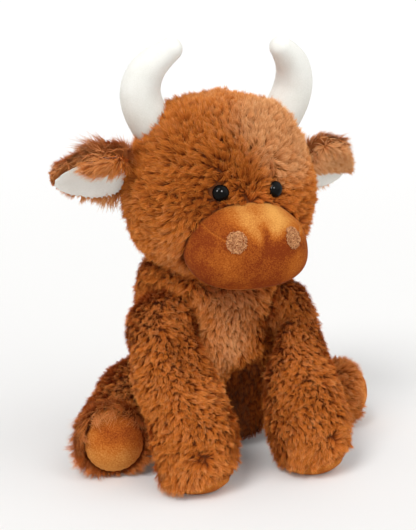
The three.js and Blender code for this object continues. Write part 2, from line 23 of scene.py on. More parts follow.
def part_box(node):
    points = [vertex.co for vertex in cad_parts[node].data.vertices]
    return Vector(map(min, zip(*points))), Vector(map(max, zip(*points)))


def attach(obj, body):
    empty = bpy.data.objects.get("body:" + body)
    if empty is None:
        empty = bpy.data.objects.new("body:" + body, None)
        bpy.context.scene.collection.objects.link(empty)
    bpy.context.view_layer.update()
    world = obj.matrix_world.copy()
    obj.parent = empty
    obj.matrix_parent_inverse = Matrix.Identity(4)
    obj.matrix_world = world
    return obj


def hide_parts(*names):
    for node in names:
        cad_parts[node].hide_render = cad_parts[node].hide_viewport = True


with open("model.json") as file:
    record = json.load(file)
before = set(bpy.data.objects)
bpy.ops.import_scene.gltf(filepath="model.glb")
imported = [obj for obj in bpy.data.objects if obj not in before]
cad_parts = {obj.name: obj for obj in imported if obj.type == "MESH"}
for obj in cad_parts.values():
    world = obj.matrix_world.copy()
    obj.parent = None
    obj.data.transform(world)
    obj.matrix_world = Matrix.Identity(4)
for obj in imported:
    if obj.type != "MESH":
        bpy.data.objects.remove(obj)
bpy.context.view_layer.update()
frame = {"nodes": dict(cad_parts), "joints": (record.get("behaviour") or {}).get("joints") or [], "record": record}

LOG = logging.getLogger("stuffed_cow")

MM = 0.001
FLOOR_CLEARANCE = 0.6 * MM
BAKE_MAP = "OFBake"
# Velour attribute: the lie of the pile, with painted sheen, highlights and shade.
NAP_AND_PAINTED_LIGHT = "nap"
MAP_EDGE = 0.02
MAP_WIDTH = 0.006

Array = np.ndarray
Colour = tuple[float, float, float]
# A Field gives a number, a yes or a direction for each place. A Cover takes the normals too, and gives the
# share of the pile that grows at each place.
Field = Callable[[Array], Array]
Cover = Callable[[Array, Array], Array]
Form = bmesh.types.BMesh
Piece = bpy.types.Object
Material = bpy.types.Material
Socket = bpy.types.NodeSocket


class Side(Enum):
    """The cow's own left and right, with the sign of X on that side."""

    LEFT = 1
    RIGHT = -1

    @property
    def word(self) -> str:
        """The side's name as the nodes spell it."""
        return self.name.lower()


class Slot(str, Enum):
    """The names of the record's material slots."""

    FUR = "fur_cloth"
    TAN_VELOUR = "tan_velour"
    PALE_VELOUR = "pale_velour"
    THREAD = "nose_thread"
    GLOSS = "eye_gloss"
    FIBRE = "filling_fibre"
    BAG = "pellet_cloth"


def joint_place(name: str) -> Vector:
    """Where a joint of the frame turns."""
    return Vector(next(joint["pos_m"] for joint in frame["joints"] if joint["name"] == name))


def joint_axis(name: str) -> Vector:
    """The line that a joint of the frame turns about."""
    return Vector(next(joint["axis"] for joint in frame["joints"] if joint["name"] == name)).normalized()


HEAD_CENTRE = joint_place("head_turn")


def on_head(x: float, y: float, z: float) -> Vector:
    """A place given in millimetres from the middle of the head."""
    return HEAD_CENTRE + Vector((x, y, z)) * MM


def from_head(points: Array) -> Array:
    """The points in millimetres from the middle of the head."""
    return (points - np.array(HEAD_CENTRE)) / MM


def heading(side: Side, turn_degrees: float, lift_degrees: float) -> Vector:
    """A direction that starts straight ahead, turned outwards and lifted.

    Args:
        side: The side that it turns to.
        turn_degrees: The turn from straight ahead.
        lift_degrees: The lift above the level.

    Returns:
        The direction, of length 1.
    """
    turn, lift = math.radians(turn_degrees), math.radians(lift_degrees)
    level = math.cos(lift)
    return Vector((side.value * math.sin(turn) * level, -math.cos(turn) * level, math.sin(lift)))


# Arrays of places and directions


def unit(vectors: Array) -> Array:
    """The same directions at length 1."""
    return vectors / np.maximum(np.linalg.norm(vectors, axis=1, keepdims=True), 1e-9)


def smoothstep(low: float, high: float, values: Array) -> Array:
    """A soft step from 0 at the low value to 1 at the high one."""
    share = np.clip((values - low) / (high - low), 0, 1)
    return share * share * (3 - 2 * share)


def bell(values: Array, width: float) -> Array:
    """1 where the values are 0, and falling off softly over the width."""
    return np.exp(-((values / width) ** 2))


def mound(points: Array, centre: Sequence[float], reach: float) -> Array:
    """1 at a centre, and falling off softly over the reach."""
    return bell(np.linalg.norm(points - np.asarray(centre), axis=1), reach)


def laid_flat(directions: Array, normals: Array) -> Array:
    """The directions as they lie along the surface."""
    return unit(directions - normals * (directions * normals).sum(1, keepdims=True))


def turned(directions: Array, normals: Array, angles: Array) -> Array:
    """Directions along a surface, each turned about its normal."""
    across = np.cross(normals, directions)
    return directions * np.cos(angles)[:, None] + across * np.sin(angles)[:, None]


def signed_depths(points: Array, tree: BVHTree) -> Array:
    """How far each point lies outside a closed form, negative where it is inside.

    Args:
        points: The places, one to a row.
        tree: The closed form.

    Returns:
        One distance for each point.
    """
    depths = np.empty(len(points))
    for index, point in enumerate(points):
        place, normal, _, distance = tree.find_nearest(point)
        outside = (Vector(point) - place).dot(normal) >= 0
        depths[index] = distance if outside else -distance
    return depths


def clear_of(points: Array, trees: Sequence[BVHTree], margin: float) -> Array:
    """1 where a point lies further out than the margin from every form, and 0 elsewhere."""
    share = np.ones(len(points))
    for tree in trees:
        share *= signed_depths(points, tree) > margin
    return share


def everywhere(points: Array, *_: Array) -> Array:
    """1 at each point."""
    return np.ones(len(points))


def nowhere(points: Array) -> Array:
    """0 at each point."""
    return np.zeros(len(points))


def all_of(points: Array) -> Array:
    """True for each point."""
    return np.ones(len(points), dtype=bool)


def corners_of(form: Form) -> Array:
    """The places of a form's corners."""
    return np.array([corner.co for corner in form.verts])


def triples(rows: bpy.types.bpy_prop_collection, name: str, kind: type = float) -> Array:
    """Reads a property of three numbers from each row of a mesh."""
    values = np.empty(len(rows) * 3, dtype=kind)
    rows.foreach_get(name, values)
    return values.reshape(-1, 3)


def points_of(piece: Piece) -> Array:
    """The places of a piece's corners."""
    return triples(piece.data.vertices, "co")


@dataclass(frozen=True)
class Spot:
    """A place in millimetres from the middle of the head, and how far it reaches."""

    x: float
    y: float
    z: float
    reach: float

    def place(self, side: Side = Side.LEFT) -> Vector:
        """The spot's place, mirrored for the right side."""
        return on_head(side.value * self.x, self.y, self.z)

    def mound(self, points: Array, side: Side = Side.LEFT) -> Array:
        """1 at the spot, and falling off softly over its reach."""
        return mound(points, self.place(side), self.reach * MM)


@dataclass
class Surface:
    """A mesh as arrays: its corners, their normals and its triangles."""

    points: Array
    normals: Array
    triangles: Array

    @classmethod
    def of(cls, piece: Piece) -> "Surface":
        """Reads a piece's mesh.

        Args:
            piece: The piece to read.

        Returns:
            The surface.
        """
        mesh = piece.data
        mesh.calc_loop_triangles()
        return cls(
            points_of(piece),
            triples(mesh.vertex_normals, "vector"),
            triples(mesh.loop_triangles, "vertices", np.int32),
        )

    def tree(self) -> BVHTree:
        """The same surface, ready for nearest-point searches."""
        return BVHTree.FromPolygons(self.points.tolist(), self.triangles.tolist())

    def faces(self) -> tuple[Array, Array, Array]:
        """The middle, the outward direction and the area of each triangle."""
        corners = self.points[self.triangles]
        crossed = np.cross(corners[:, 1] - corners[:, 0], corners[:, 2] - corners[:, 0])
        doubled = np.linalg.norm(crossed, axis=1)
        return corners.mean(axis=1), crossed / np.maximum(doubled, 1e-12)[:, None], doubled / 2

    def scatter(self, weights: Array, count: int, rng: np.random.Generator) -> tuple[Array, Array]:
        """Spreads places over the surface.

        Args:
            weights: How much of the whole each triangle gets.
            count: How many places.
            rng: The source of chance.

        Returns:
            The places and the surface's direction at each.
        """
        total = np.cumsum(weights)
        picks = (np.arange(count) + rng.random(count)) / count * total[-1]
        chosen = self.triangles[np.minimum(np.searchsorted(total, picks), len(total) - 1)]
        first, second = np.sqrt(rng.random(count)), rng.random(count)
        shares = np.stack([1 - first, first * (1 - second), first * second], axis=1)[:, :, None]
        return (self.points[chosen] * shares).sum(1), unit((self.normals[chosen] * shares).sum(1))


# Shader helpers


class Shader:
    """Places and links the nodes of one material or node group."""

    def __init__(self, tree: bpy.types.NodeTree) -> None:
        """Keeps the tree that the nodes go into."""
        self.tree = tree

    def node(self, kind: str, inputs: Optional[dict] = None, **settings: object) -> bpy.types.Node:
        """Adds a node.

        Args:
            kind: The node's type name.
            inputs: A value or an output for each named or numbered input.
            settings: The node's own settings.

        Returns:
            The new node.
        """
        made = self.tree.nodes.new(kind)
        for name, value in settings.items():
            setattr(made, name, value)
        for name, value in (inputs or {}).items():
            if isinstance(value, Socket):
                self.tree.links.new(value, made.inputs[name])
            else:
                made.inputs[name].default_value = value
        return made

    def feed(self, target: bpy.types.Node, **outputs: Socket) -> None:
        """Links outputs to a node's named inputs, with _ for a space."""
        for name, output in outputs.items():
            self.tree.links.new(output, target.inputs[name.replace("_", " ")])

    def ramp(self, factor: Socket, stops: Sequence[tuple[float, Colour]]) -> Socket:
        """Turns a factor into a colour along the given stops.

        Args:
            factor: What picks the colour.
            stops: The places and colours along the ramp.

        Returns:
            The colour.
        """
        made = self.node("ShaderNodeValToRGB", {"Fac": factor})
        elements = made.color_ramp.elements
        while len(elements) < len(stops):
            elements.new(0.5)
        for element, (place, colour) in zip(elements, stops):
            element.position = place
            element.color = (*colour, 1)
        return made.outputs["Color"]

    def blend(self, factor: Socket, first: object, second: object) -> Socket:
        """Mixes two colours by a factor.

        Args:
            factor: What picks the colour.
            first: The colour where the factor is 0.
            second: The colour where it is 1.

        Returns:
            The mixed colour.
        """
        made = self.node("ShaderNodeMix", data_type="RGBA")
        sockets = [socket for socket in made.inputs if socket.enabled]
        for name, value in (("Factor", factor), ("A", first), ("B", second)):
            socket = next(made for made in sockets if made.name == name and made.type in ("VALUE", "RGBA"))
            if isinstance(value, Socket):
                self.tree.links.new(value, socket)
            else:
                socket.default_value = (*value, 1)
        return next(socket for socket in made.outputs if socket.enabled and socket.type == "RGBA")

    def remap(self, value: Socket, **ends: float) -> Socket:
        """Carries a value from one range to another, with From_Min, From_Max, To_Min and To_Max."""
        given = {name.replace("_", " "): end for name, end in ends.items()}
        return self.node("ShaderNodeMapRange", {"Value": value, **given}).outputs[0]

    def reckon(self, operation: str, first: object, second: object, **settings: object) -> Socket:
        """Works two values out into one."""
        return self.node("ShaderNodeMath", {0: first, 1: second}, operation=operation, **settings).outputs[0]

    def mottle(self, **scales: float) -> bpy.types.bpy_prop_collection:
        """Places the shared mottle of cloth, at the given Patch_Scale and Grain_Scale."""
        given = {name.replace("_", " "): scale for name, scale in scales.items()}
        return self.node("ShaderNodeGroup", given, node_tree=mottle_group()).outputs

    def bump(self, height: Socket, strength: float, distance: float) -> Socket:
        """Turns a height into the normal of a rough surface."""
        given = {"Height": height, "Strength": strength, "Distance": distance}
        return self.node("ShaderNodeBump", given).outputs["Normal"]

    def own_map(self) -> tuple[Socket, Socket]:
        """The two coordinates of a strand's map: its tone and the share of its length."""
        place = self.node("ShaderNodeUVMap", uv_map=BAKE_MAP)
        split = self.node("ShaderNodeSeparateXYZ", {0: place.outputs["UV"]})
        return split.outputs["X"], split.outputs["Y"]


def principled(name: str, **sockets: object) -> tuple[Material, Shader, bpy.types.Node]:
    """A new material with one Principled shader.

    Args:
        name: The material's name.
        sockets: Constants for the shader's own sockets, with _ for a space.

    Returns:
        The material, the helper for its nodes, and the shader node.
    """
    material = bpy.data.materials.new(name)
    material.use_nodes = True
    body = material.node_tree.nodes["Principled BSDF"]
    for key, value in sockets.items():
        body.inputs[key.replace("_", " ")].default_value = value
    return material, Shader(material.node_tree), body


def mottle_group() -> bpy.types.NodeTree:
    """The shared group that gives cloth its patches, its grain and the height of its pile.

    Returns:
        The group.
    """
    found = bpy.data.node_groups.get("cloth_mottle")
    if found:
        return found
    group = bpy.data.node_groups.new("cloth_mottle", "ShaderNodeTree")
    for name, value in (("Patch Scale", 30.0), ("Grain Scale", 900.0)):
        group.interface.new_socket(name, in_out="INPUT", socket_type="NodeSocketFloat").default_value = value
    for name in ("Patch", "Grain", "Height"):
        group.interface.new_socket(name, in_out="OUTPUT", socket_type="NodeSocketFloat")
    shader = Shader(group)
    given = shader.node("NodeGroupInput")
    place = shader.node("ShaderNodeTexCoord").outputs["Object"]
    noises = [
        shader.node("ShaderNodeTexNoise", {"Vector": place, "Scale": given.outputs[name], "Detail": detail})
        for name, detail in (("Patch Scale", 3.0), ("Grain Scale", 2.0))
    ]
    patch, grain = (made.outputs["Fac"] for made in noises)
    spread = shader.remap(patch, From_Min=0.35, From_Max=0.65)
    height = shader.reckon("ADD", grain, spread)
    shader.feed(shader.node("NodeGroupOutput"), Patch=spread, Grain=grain, Height=height)
    return group


@dataclass(frozen=True)
class FurFinish:
    """Long pile: dark at the root with painted shade, lighter to the tip, and deep, rust or pale by tone; the deep
    tone also carries painted shade.
    """

    name: str = "long_pile"
    rust_tone: float = 0.3
    places: tuple = (0.0, 0.35, 0.75, 1.0)
    # The deep ramp is a darker tone, and also painted shade where a part pulls its tone low.
    deep: tuple = ((0.06, 0.009, 0.001), (0.14, 0.022, 0.003), (0.28, 0.055, 0.006), (0.42, 0.11, 0.015))
    rust: tuple = ((0.09, 0.014, 0.002), (0.40, 0.080, 0.008), (0.66, 0.178, 0.022), (0.84, 0.33, 0.06))
    pale: tuple = ((0.22, 0.055, 0.013), (0.58, 0.21, 0.065), (0.82, 0.40, 0.16), (0.94, 0.60, 0.31))
    gloss_tint: Colour = (1.0, 0.72, 0.42)

    def material(self) -> Material:
        """The pile's material, whose colour depends on the strand's own map alone.

        Returns:
            The material.
        """
        made, shader, body = principled(
            self.name, Roughness=0.7, Specular_IOR_Level=0.08, Specular_Tint=(*self.gloss_tint, 1)
        )
        tone, length = shader.own_map()
        stops = (list(zip(self.places, colours)) for colours in (self.deep, self.rust, self.pale))
        deep, rust, pale = (shader.ramp(length, stop) for stop in stops)
        low = shader.remap(tone, From_Max=self.rust_tone)
        high = shader.remap(tone, From_Min=self.rust_tone)
        shader.feed(body, Base_Color=shader.blend(high, shader.blend(low, deep, rust), pale))
        return made


@dataclass(frozen=True)
class HideFinish:
    """The knitted backing that the pile stands in, painted dark with the shade that lies between the strands."""

    name: str = "pile_backing"
    dark: Colour = (0.11, 0.028, 0.006)
    light: Colour = (0.24, 0.068, 0.016)

    def material(self) -> Material:
        """The backing's material."""
        made, shader, body = principled(self.name, Roughness=0.95, Specular_IOR_Level=0.1)
        shader.feed(body, Base_Color=shader.blend(shader.mottle()["Grain"], self.dark, self.light))
        return made


@dataclass(frozen=True)
class VelourFinish:
    """Short velour, lighter where its pile leans one way and deeper where it leans the other, with painted sheen,
    highlights and shade read from the same attribute.
    """

    name: str
    deep: Colour
    middle: Colour
    light: Colour
    sheen: Colour
    sheen_weight: float = 0.2
    sheen_roughness: float = 0.14
    middle_place: float = 0.38
    patch_scale: float = 70.0
    grain_scale: float = 900.0
    grain_depth: float = 0.5
    grain_range: tuple[float, float] = (0.25, 0.75)
    nap_contrast: float = 0.2
    bump_strength: float = 0.5
    bump_height: float = 0.4 * MM

    def material(self) -> Material:
        """The velour's material; its lightness, painted sheen and shade included, is read from the piece's own
        attribute.

        Returns:
            The material.
        """
        made, shader, body = principled(
            self.name,
            Roughness=0.9,
            Specular_IOR_Level=0.08,
            Sheen_Weight=self.sheen_weight,
            Sheen_Roughness=self.sheen_roughness,
            Sheen_Tint=(*self.sheen, 1),
        )
        mottle = shader.mottle(Patch_Scale=self.patch_scale, Grain_Scale=self.grain_scale)
        # The attribute holds painted sheen, highlights and shade along with the lie of the pile.
        nap = shader.node("ShaderNodeAttribute", attribute_name=NAP_AND_PAINTED_LIGHT).outputs["Fac"]
        contrast, depth = self.nap_contrast / 2, self.grain_depth / 2
        low, high = self.grain_range
        patch = shader.remap(mottle["Patch"], To_Min=-contrast, To_Max=contrast)
        grain = shader.remap(mottle["Grain"], From_Min=low, From_Max=high, To_Min=-depth, To_Max=depth)
        lightness = shader.reckon("ADD", shader.reckon("ADD", nap, patch), grain, use_clamp=True)
        stops = ((0.0, self.deep), (self.middle_place, self.middle), (1.0, self.light))
        colour = shader.ramp(lightness, stops)
        normal = shader.bump(mottle["Grain"], self.bump_strength, self.bump_height)
        shader.feed(body, Base_Color=colour, Normal=normal)
        return made


@dataclass(frozen=True)
class ThreadFinish:
    """Embroidery thread in two close shades, with a soft gloss."""

    name: str = "nostril_thread"
    deep: Colour = (0.34, 0.10, 0.028)
    light: Colour = (0.84, 0.46, 0.20)

    def material(self) -> Material:
        """The thread's material."""
        made, shader, body = principled(self.name, Roughness=0.6, Specular_IOR_Level=0.15)
        tone, _ = shader.own_map()
        shader.feed(body, Base_Color=shader.blend(tone, self.deep, self.light))
        return made


@dataclass(frozen=True)
class GlossFinish:
    """Moulded black plastic with a clear skin."""

    name: str = "eye_plastic"
    colour: Colour = (0.002, 0.0018, 0.0016)
    light: Colour = (0.005, 0.0045, 0.004)
    grain_scale: float = 260.0
    smoothest: float = 0.03
    roughest: float = 0.07

    def material(self) -> Material:
        """The eye's material.

        Returns:
            The material.
        """
        made, shader, body = principled(self.name, Specular_IOR_Level=0.07)
        mottle = shader.mottle(Grain_Scale=self.grain_scale)
        rough = shader.remap(mottle["Grain"], To_Min=self.smoothest, To_Max=self.roughest)
        shader.feed(body, Roughness=rough, Base_Color=shader.blend(mottle["Patch"], self.colour, self.light))
        return made


@dataclass(frozen=True)
class HiddenFinish:
    """A plain cloth, fibre or plastic that lies under the covers."""

    name: str
    dark: Colour
    light: Colour
    grain_scale: float = 600.0
    roughness: float = 0.95
    bump_strength: float = 0.4
    bump_height: float = MM

    def material(self) -> Material:
        """The hidden piece's material.

        Returns:
            The material.
        """
        made, shader, body = principled(self.name, Roughness=self.roughness)
        mottle = shader.mottle(Grain_Scale=self.grain_scale)
        colour = shader.blend(mottle["Grain"], self.dark, self.light)
        normal = shader.bump(mottle["Height"], self.bump_strength, self.bump_height)
        shader.feed(body, Base_Color=colour, Normal=normal)
        return made


class Wardrobe:
    """Every finish of the cow, each made into a material once."""

    def __init__(self) -> None:
        """Makes the materials."""
        self.fur = FurFinish().material()
        self.hide = HideFinish().material()
        self.ear_hide = HideFinish("ear_backing", (0.30, 0.088, 0.02), (0.50, 0.17, 0.045)).material()
        self.tan = VelourFinish(
            "tan_velour",
            deep=(0.205, 0.030, 0.0015),
            middle=(0.43, 0.108, 0.009),
            light=(0.71, 0.33, 0.075),
            sheen=(1.0, 0.7, 0.36),
        ).material()
        self.pale = VelourFinish(
            "pale_velour",
            deep=(0.70, 0.68, 0.60),
            middle=(0.78, 0.77, 0.70),
            light=(0.92, 0.915, 0.86),
            sheen=(1.0, 0.98, 0.93),
            sheen_weight=0.1,
            sheen_roughness=0.3,
            grain_depth=0.3,
        ).material()
        self.thread = ThreadFinish().material()
        self.gloss = GlossFinish().material()
        self.fibre = HiddenFinish("filling_fibre", (0.62, 0.61, 0.58), (0.86, 0.85, 0.82)).material()
        self.sacking = HiddenFinish("pellet_sacking", (0.5, 0.47, 0.4), (0.7, 0.67, 0.6)).material()
        self.washer = HiddenFinish("washer_plastic", (0.66,) * 3, (0.74,) * 3, 200.0, 0.4).material()


# Making pieces


def linked(name: str, data: bpy.types.ID) -> Piece:
    """Puts a mesh, a camera or a lamp into the scene."""
    piece = bpy.data.objects.new(name, data)
    bpy.context.scene.collection.objects.link(piece)
    return piece


def in_order(form: Form) -> None:
    """Sorts a form's faces by their corners, since extruding leaves them in another order on each run.

    Args:
        form: The form, which is changed.
    """
    form.verts.index_update()
    count = len(form.verts)

    def rank(face: bmesh.types.BMFace) -> float:
        """A number made from the face's three lowest corners."""
        first, second, third = sorted(corner.index for corner in face.verts)[:3]
        return float((first * count + second) * count + third)

    form.faces.sort(key=rank)


def piece_from(name: str, form: Form) -> Piece:
    """Turns a finished bmesh into a smooth piece.

    Args:
        name: The piece's name.
        form: The form, which is freed.

    Returns:
        The piece.
    """
    bmesh.ops.recalc_face_normals(form, faces=form.faces)
    in_order(form)
    mesh = bpy.data.meshes.new(name)
    form.to_mesh(mesh)
    form.free()
    mesh.polygons.foreach_set("use_smooth", np.ones(len(mesh.polygons), dtype=bool))
    return linked(name, mesh)


def settled(piece: Piece) -> None:
    """Applies every modifier that the piece has.

    Args:
        piece: The piece, which is changed.
    """
    evaluated = piece.evaluated_get(bpy.context.evaluated_depsgraph_get())
    mesh = bpy.data.meshes.new_from_object(evaluated)
    piece.modifiers.clear()
    old, piece.data = piece.data, mesh
    bpy.data.meshes.remove(old)


def finished(
    piece: Piece, body: str, material: Material, replaces: Sequence[str] = ()
) -> Piece:
    """Gives a piece its material and its body, and hides the CAD nodes that it stands for.

    Args:
        piece: The finished piece.
        body: The CAD body that it rides on.
        material: Its material.
        replaces: The CAD nodes that it stands for.

    Returns:
        The same piece.
    """
    piece.data.materials.clear()
    piece.data.materials.append(material)
    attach(piece, body)
    if replaces:
        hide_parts(*replaces)
    LOG.info("%s: %d faces on %s", piece.name, len(piece.data.polygons), body)
    return piece


def stuffed(piece: Piece, cap: float, pressure: float = 4.0, frames: int = 20) -> None:
    """Args:
        piece: The form, which is changed.
        cap: The furthest that a corner may move.
        pressure: The stuffing's pressure.
        frames: How many steps it swells for.
    """
    mesh = piece.data
    before = triples(mesh.vertices, "co")
    cloth = piece.modifiers.new("stuffing", "CLOTH")
    cloth.settings.use_pressure = True
    cloth.settings.uniform_pressure_force = pressure
    cloth.settings.effector_weights.gravity = 0
    cloth.point_cache.frame_end = frames
    scene = bpy.context.scene
    for step in range(1, frames + 1):
        scene.frame_set(step)
    swollen = piece.evaluated_get(bpy.context.evaluated_depsgraph_get()).data
    after = triples(swollen.vertices, "co")
    piece.modifiers.remove(cloth)
    scene.frame_set(1)
    move = after - before
    move -= move.mean(axis=0)
    reach = np.linalg.norm(move, axis=1, keepdims=True)
    move *= np.minimum(1, cap / np.maximum(reach, 1e-9))
    mesh.vertices.foreach_set("co", (before + move).ravel())
    mesh.update()


def off_floor(form: Form, height: float = FLOOR_CLEARANCE) -> None:
    """Keeps a form's corners off the floor."""
    for corner in form.verts:
        corner.co.z = max(corner.co.z, height)


def extruded(form: Form, edges: list) -> tuple[list, list]:
    """Extrudes a ring of edges.

    Args:
        form: The form that the edges are in.
        edges: The ring's edges.

    Returns:
        The new ring's corners and its edges.
    """
    grown = bmesh.ops.extrude_edge_only(form, edges=edges)["geom"]
    corners = [part for part in grown if isinstance(part, bmesh.types.BMVert)]
    return corners, [part for part in grown if isinstance(part, bmesh.types.BMEdge)]


@dataclass
class StuffedForm:
    """A soft form that is remade from the frame's own solids."""

    name: str
    nodes: Sequence[str]
    voxel: float = 4 * MM
    smoothing: int = 6
    swell: float = 3.4 * MM
    cap: float = 3 * MM
    pressed: bool = True

    def build(self) -> Piece:
        """Joins the solids, smooths them and lets them swell.

        Returns:
            The soft form.
        """
        form = bmesh.new()
        for node in self.nodes:
            form.from_mesh(frame["nodes"][node].data)
        bmesh.ops.remove_doubles(form, verts=form.verts, dist=0.01 * MM)
        mesh = bpy.data.meshes.new(self.name)
        form.to_mesh(mesh)
        form.free()
        piece = linked(self.name, mesh)
        remesh = piece.modifiers.new("even_mesh", "REMESH")
        remesh.mode = "VOXEL"
        remesh.voxel_size = self.voxel
        settled(piece)
        form = bmesh.new()
        form.from_mesh(piece.data)
        for _ in range(self.smoothing):
            bmesh.ops.smooth_vert(
                form, verts=form.verts, factor=0.5, use_axis_x=True, use_axis_y=True, use_axis_z=True
            )
        form.normal_update()
        for corner in form.verts:
            corner.co += corner.normal * self.swell
        off_floor(form)
        form.to_mesh(piece.data)
        form.free()
        if self.pressed:
            stuffed(piece, self.cap)
        for polygon in piece.data.polygons:
            polygon.use_smooth = True
        return piece


# Pile


def as_arrays(form: Form) -> tuple[Array, Array]:
    """Reads a form's corners and triangles, and frees the form.

    Args:
        form: The form, which is freed.

    Returns:
        The corners and the triangles.
    """
    form.verts.index_update()
    corners = corners_of(form)
    triangles = np.array([[corner.index for corner in face.verts] for face in form.faces])
    form.free()
    return corners, triangles


@dataclass
class FlatStrand:
    """One tapered ribbon of pile, made once and laid down many times."""

    joints: Sequence[float] = (0.5,)
    waist: float = 0.8

    def build(self) -> tuple[Array, Array]:
        """Draws the strand along Z.

        Returns:
            Its corners, with the share of its length as Z, and its triangles.
        """
        rows = [0.0, *self.joints, 1.0]
        form = bmesh.new()
        bmesh.ops.create_grid(form, x_segments=1, y_segments=len(rows) - 1, size=1)
        for corner in form.verts:
            row = round((corner.co.y + 1) / 2 * (len(rows) - 1))
            corner.co = (corner.co.x * self.waist**row, 0, rows[row])
        tip = [corner for corner in form.verts if corner.co.z == 1]
        bmesh.ops.pointmerge(form, verts=tip, merge_co=(0, 0, 1))
        bmesh.ops.triangulate(form, faces=form.faces)
        return as_arrays(form)


@dataclass
class RoundStrand:
    """One round thread, made once and laid down many times."""

    sides: int = 4
    joints: Sequence[float] = (0.15, 0.38, 0.62, 0.85)
    waist: float = 0.97

    def build(self) -> tuple[Array, Array]:
        """Draws the thread along Z.

        Returns:
            Its corners, with the share of its length as Z, and its triangles.
        """
        form = bmesh.new()
        bmesh.ops.create_circle(form, segments=self.sides, radius=1)
        edges = form.edges[:]
        for share in [*self.joints, 1.0]:
            ring, edges = extruded(form, edges)
            bmesh.ops.scale(form, vec=(self.waist, self.waist, 1), verts=ring)
            for corner in ring:
                corner.co.z = share
        bmesh.ops.pointmerge(form, verts=ring, merge_co=(0, 0, 1))
        bmesh.ops.triangulate(form, faces=form.faces)
        bmesh.ops.recalc_face_normals(form, faces=form.faces)
        in_order(form)
        corners, triangles = as_arrays(form)
        first, second, third = (corners[triangles[:, index]] for index in range(3))
        facing = np.cross(second - first, third - first)
        if (facing[:, :2] * corners[triangles].mean(axis=1)[:, :2]).sum() < 0:
            triangles = triangles[:, ::-1]
        return corners, triangles


@dataclass
class Locks:
    """Where every strand of a coat starts, bends and ends, with its width and tone."""

    roots: Array
    bends: Array
    tips: Array
    normals: Array
    widths: Array
    tones: Array

    def mesh(
        self, name: str, strand: FlatStrand | RoundStrand, chosen: Array, root_shade: float = MAP_EDGE
    ) -> bpy.types.Mesh:
        """Lays the chosen strands down as one mesh.

        Args:
            name: The mesh's name.
            strand: The strand that is repeated.
            chosen: Which strands go in.
            root_shade: How far along the map's length the root lies.

        Returns:
            The mesh, with the map that its colour is read from.
        """
        corners, triangles = strand.build()
        roots, bends, tips = self.roots[chosen], self.bends[chosen], self.tips[chosen]
        run = unit(tips - roots)
        side = unit(np.cross(run, self.normals[chosen]))
        upward = np.cross(side, run)
        share = corners[:, 2][None, :, None]
        line = (
            roots[:, None] * (1 - share) ** 2
            + 2 * bends[:, None] * share * (1 - share)
            + tips[:, None] * share**2
        )
        width = self.widths[chosen][:, None, None]
        places = line + width * (
            corners[:, 0][None, :, None] * side[:, None] + corners[:, 1][None, :, None] * upward[:, None]
        )
        places[:, :, 2] = np.maximum(places[:, :, 2], FLOOR_CLEARANCE)
        count, corner_count = len(roots), len(corners)
        faces = (triangles[None] + (np.arange(count) * corner_count)[:, None, None]).reshape(-1)
        mesh = bpy.data.meshes.new(name)
        mesh.vertices.add(count * corner_count)
        mesh.vertices.foreach_set("co", places.reshape(-1))
        mesh.loops.add(len(faces))
        mesh.loops.foreach_set("vertex_index", faces.astype(np.int32))
        mesh.polygons.add(len(faces) // 3)
        mesh.polygons.foreach_set("loop_start", np.arange(0, len(faces), 3, dtype=np.int32))
        mesh.polygons.foreach_set("use_smooth", np.ones(len(faces) // 3, dtype=bool))
        mesh.update(calc_edges=True)
        across = self.tones[chosen][:, None] + MAP_WIDTH * corners[:, 0][None]
        along = np.broadcast_to(root_shade + (1 - MAP_EDGE - root_shade) * corners[:, 2][None], across.shape)
        places_on_map = np.stack([across, along], axis=2).reshape(-1, 2)[faces]
        layer = mesh.uv_layers.new(name=BAKE_MAP)
        layer.uv.foreach_set("vector", places_on_map.reshape(-1))
        return mesh


@dataclass(frozen=True)
class Chance:
    """How unlike each other the locks of a coat and the strands of a lock are."""

    lock_length: tuple[float, float] = (0.78, 1.15)
    lock_tone: float = 0.07
    drift_tone: float = 0.08
    own_turn_degrees: float = 9.0
    own_lean_degrees: float = 5.0
    own_length: tuple[float, float] = (0.82, 1.1)
    own_width: tuple[float, float] = (0.8, 1.2)
    own_tone: float = 0.08
    sway: float = 0.09


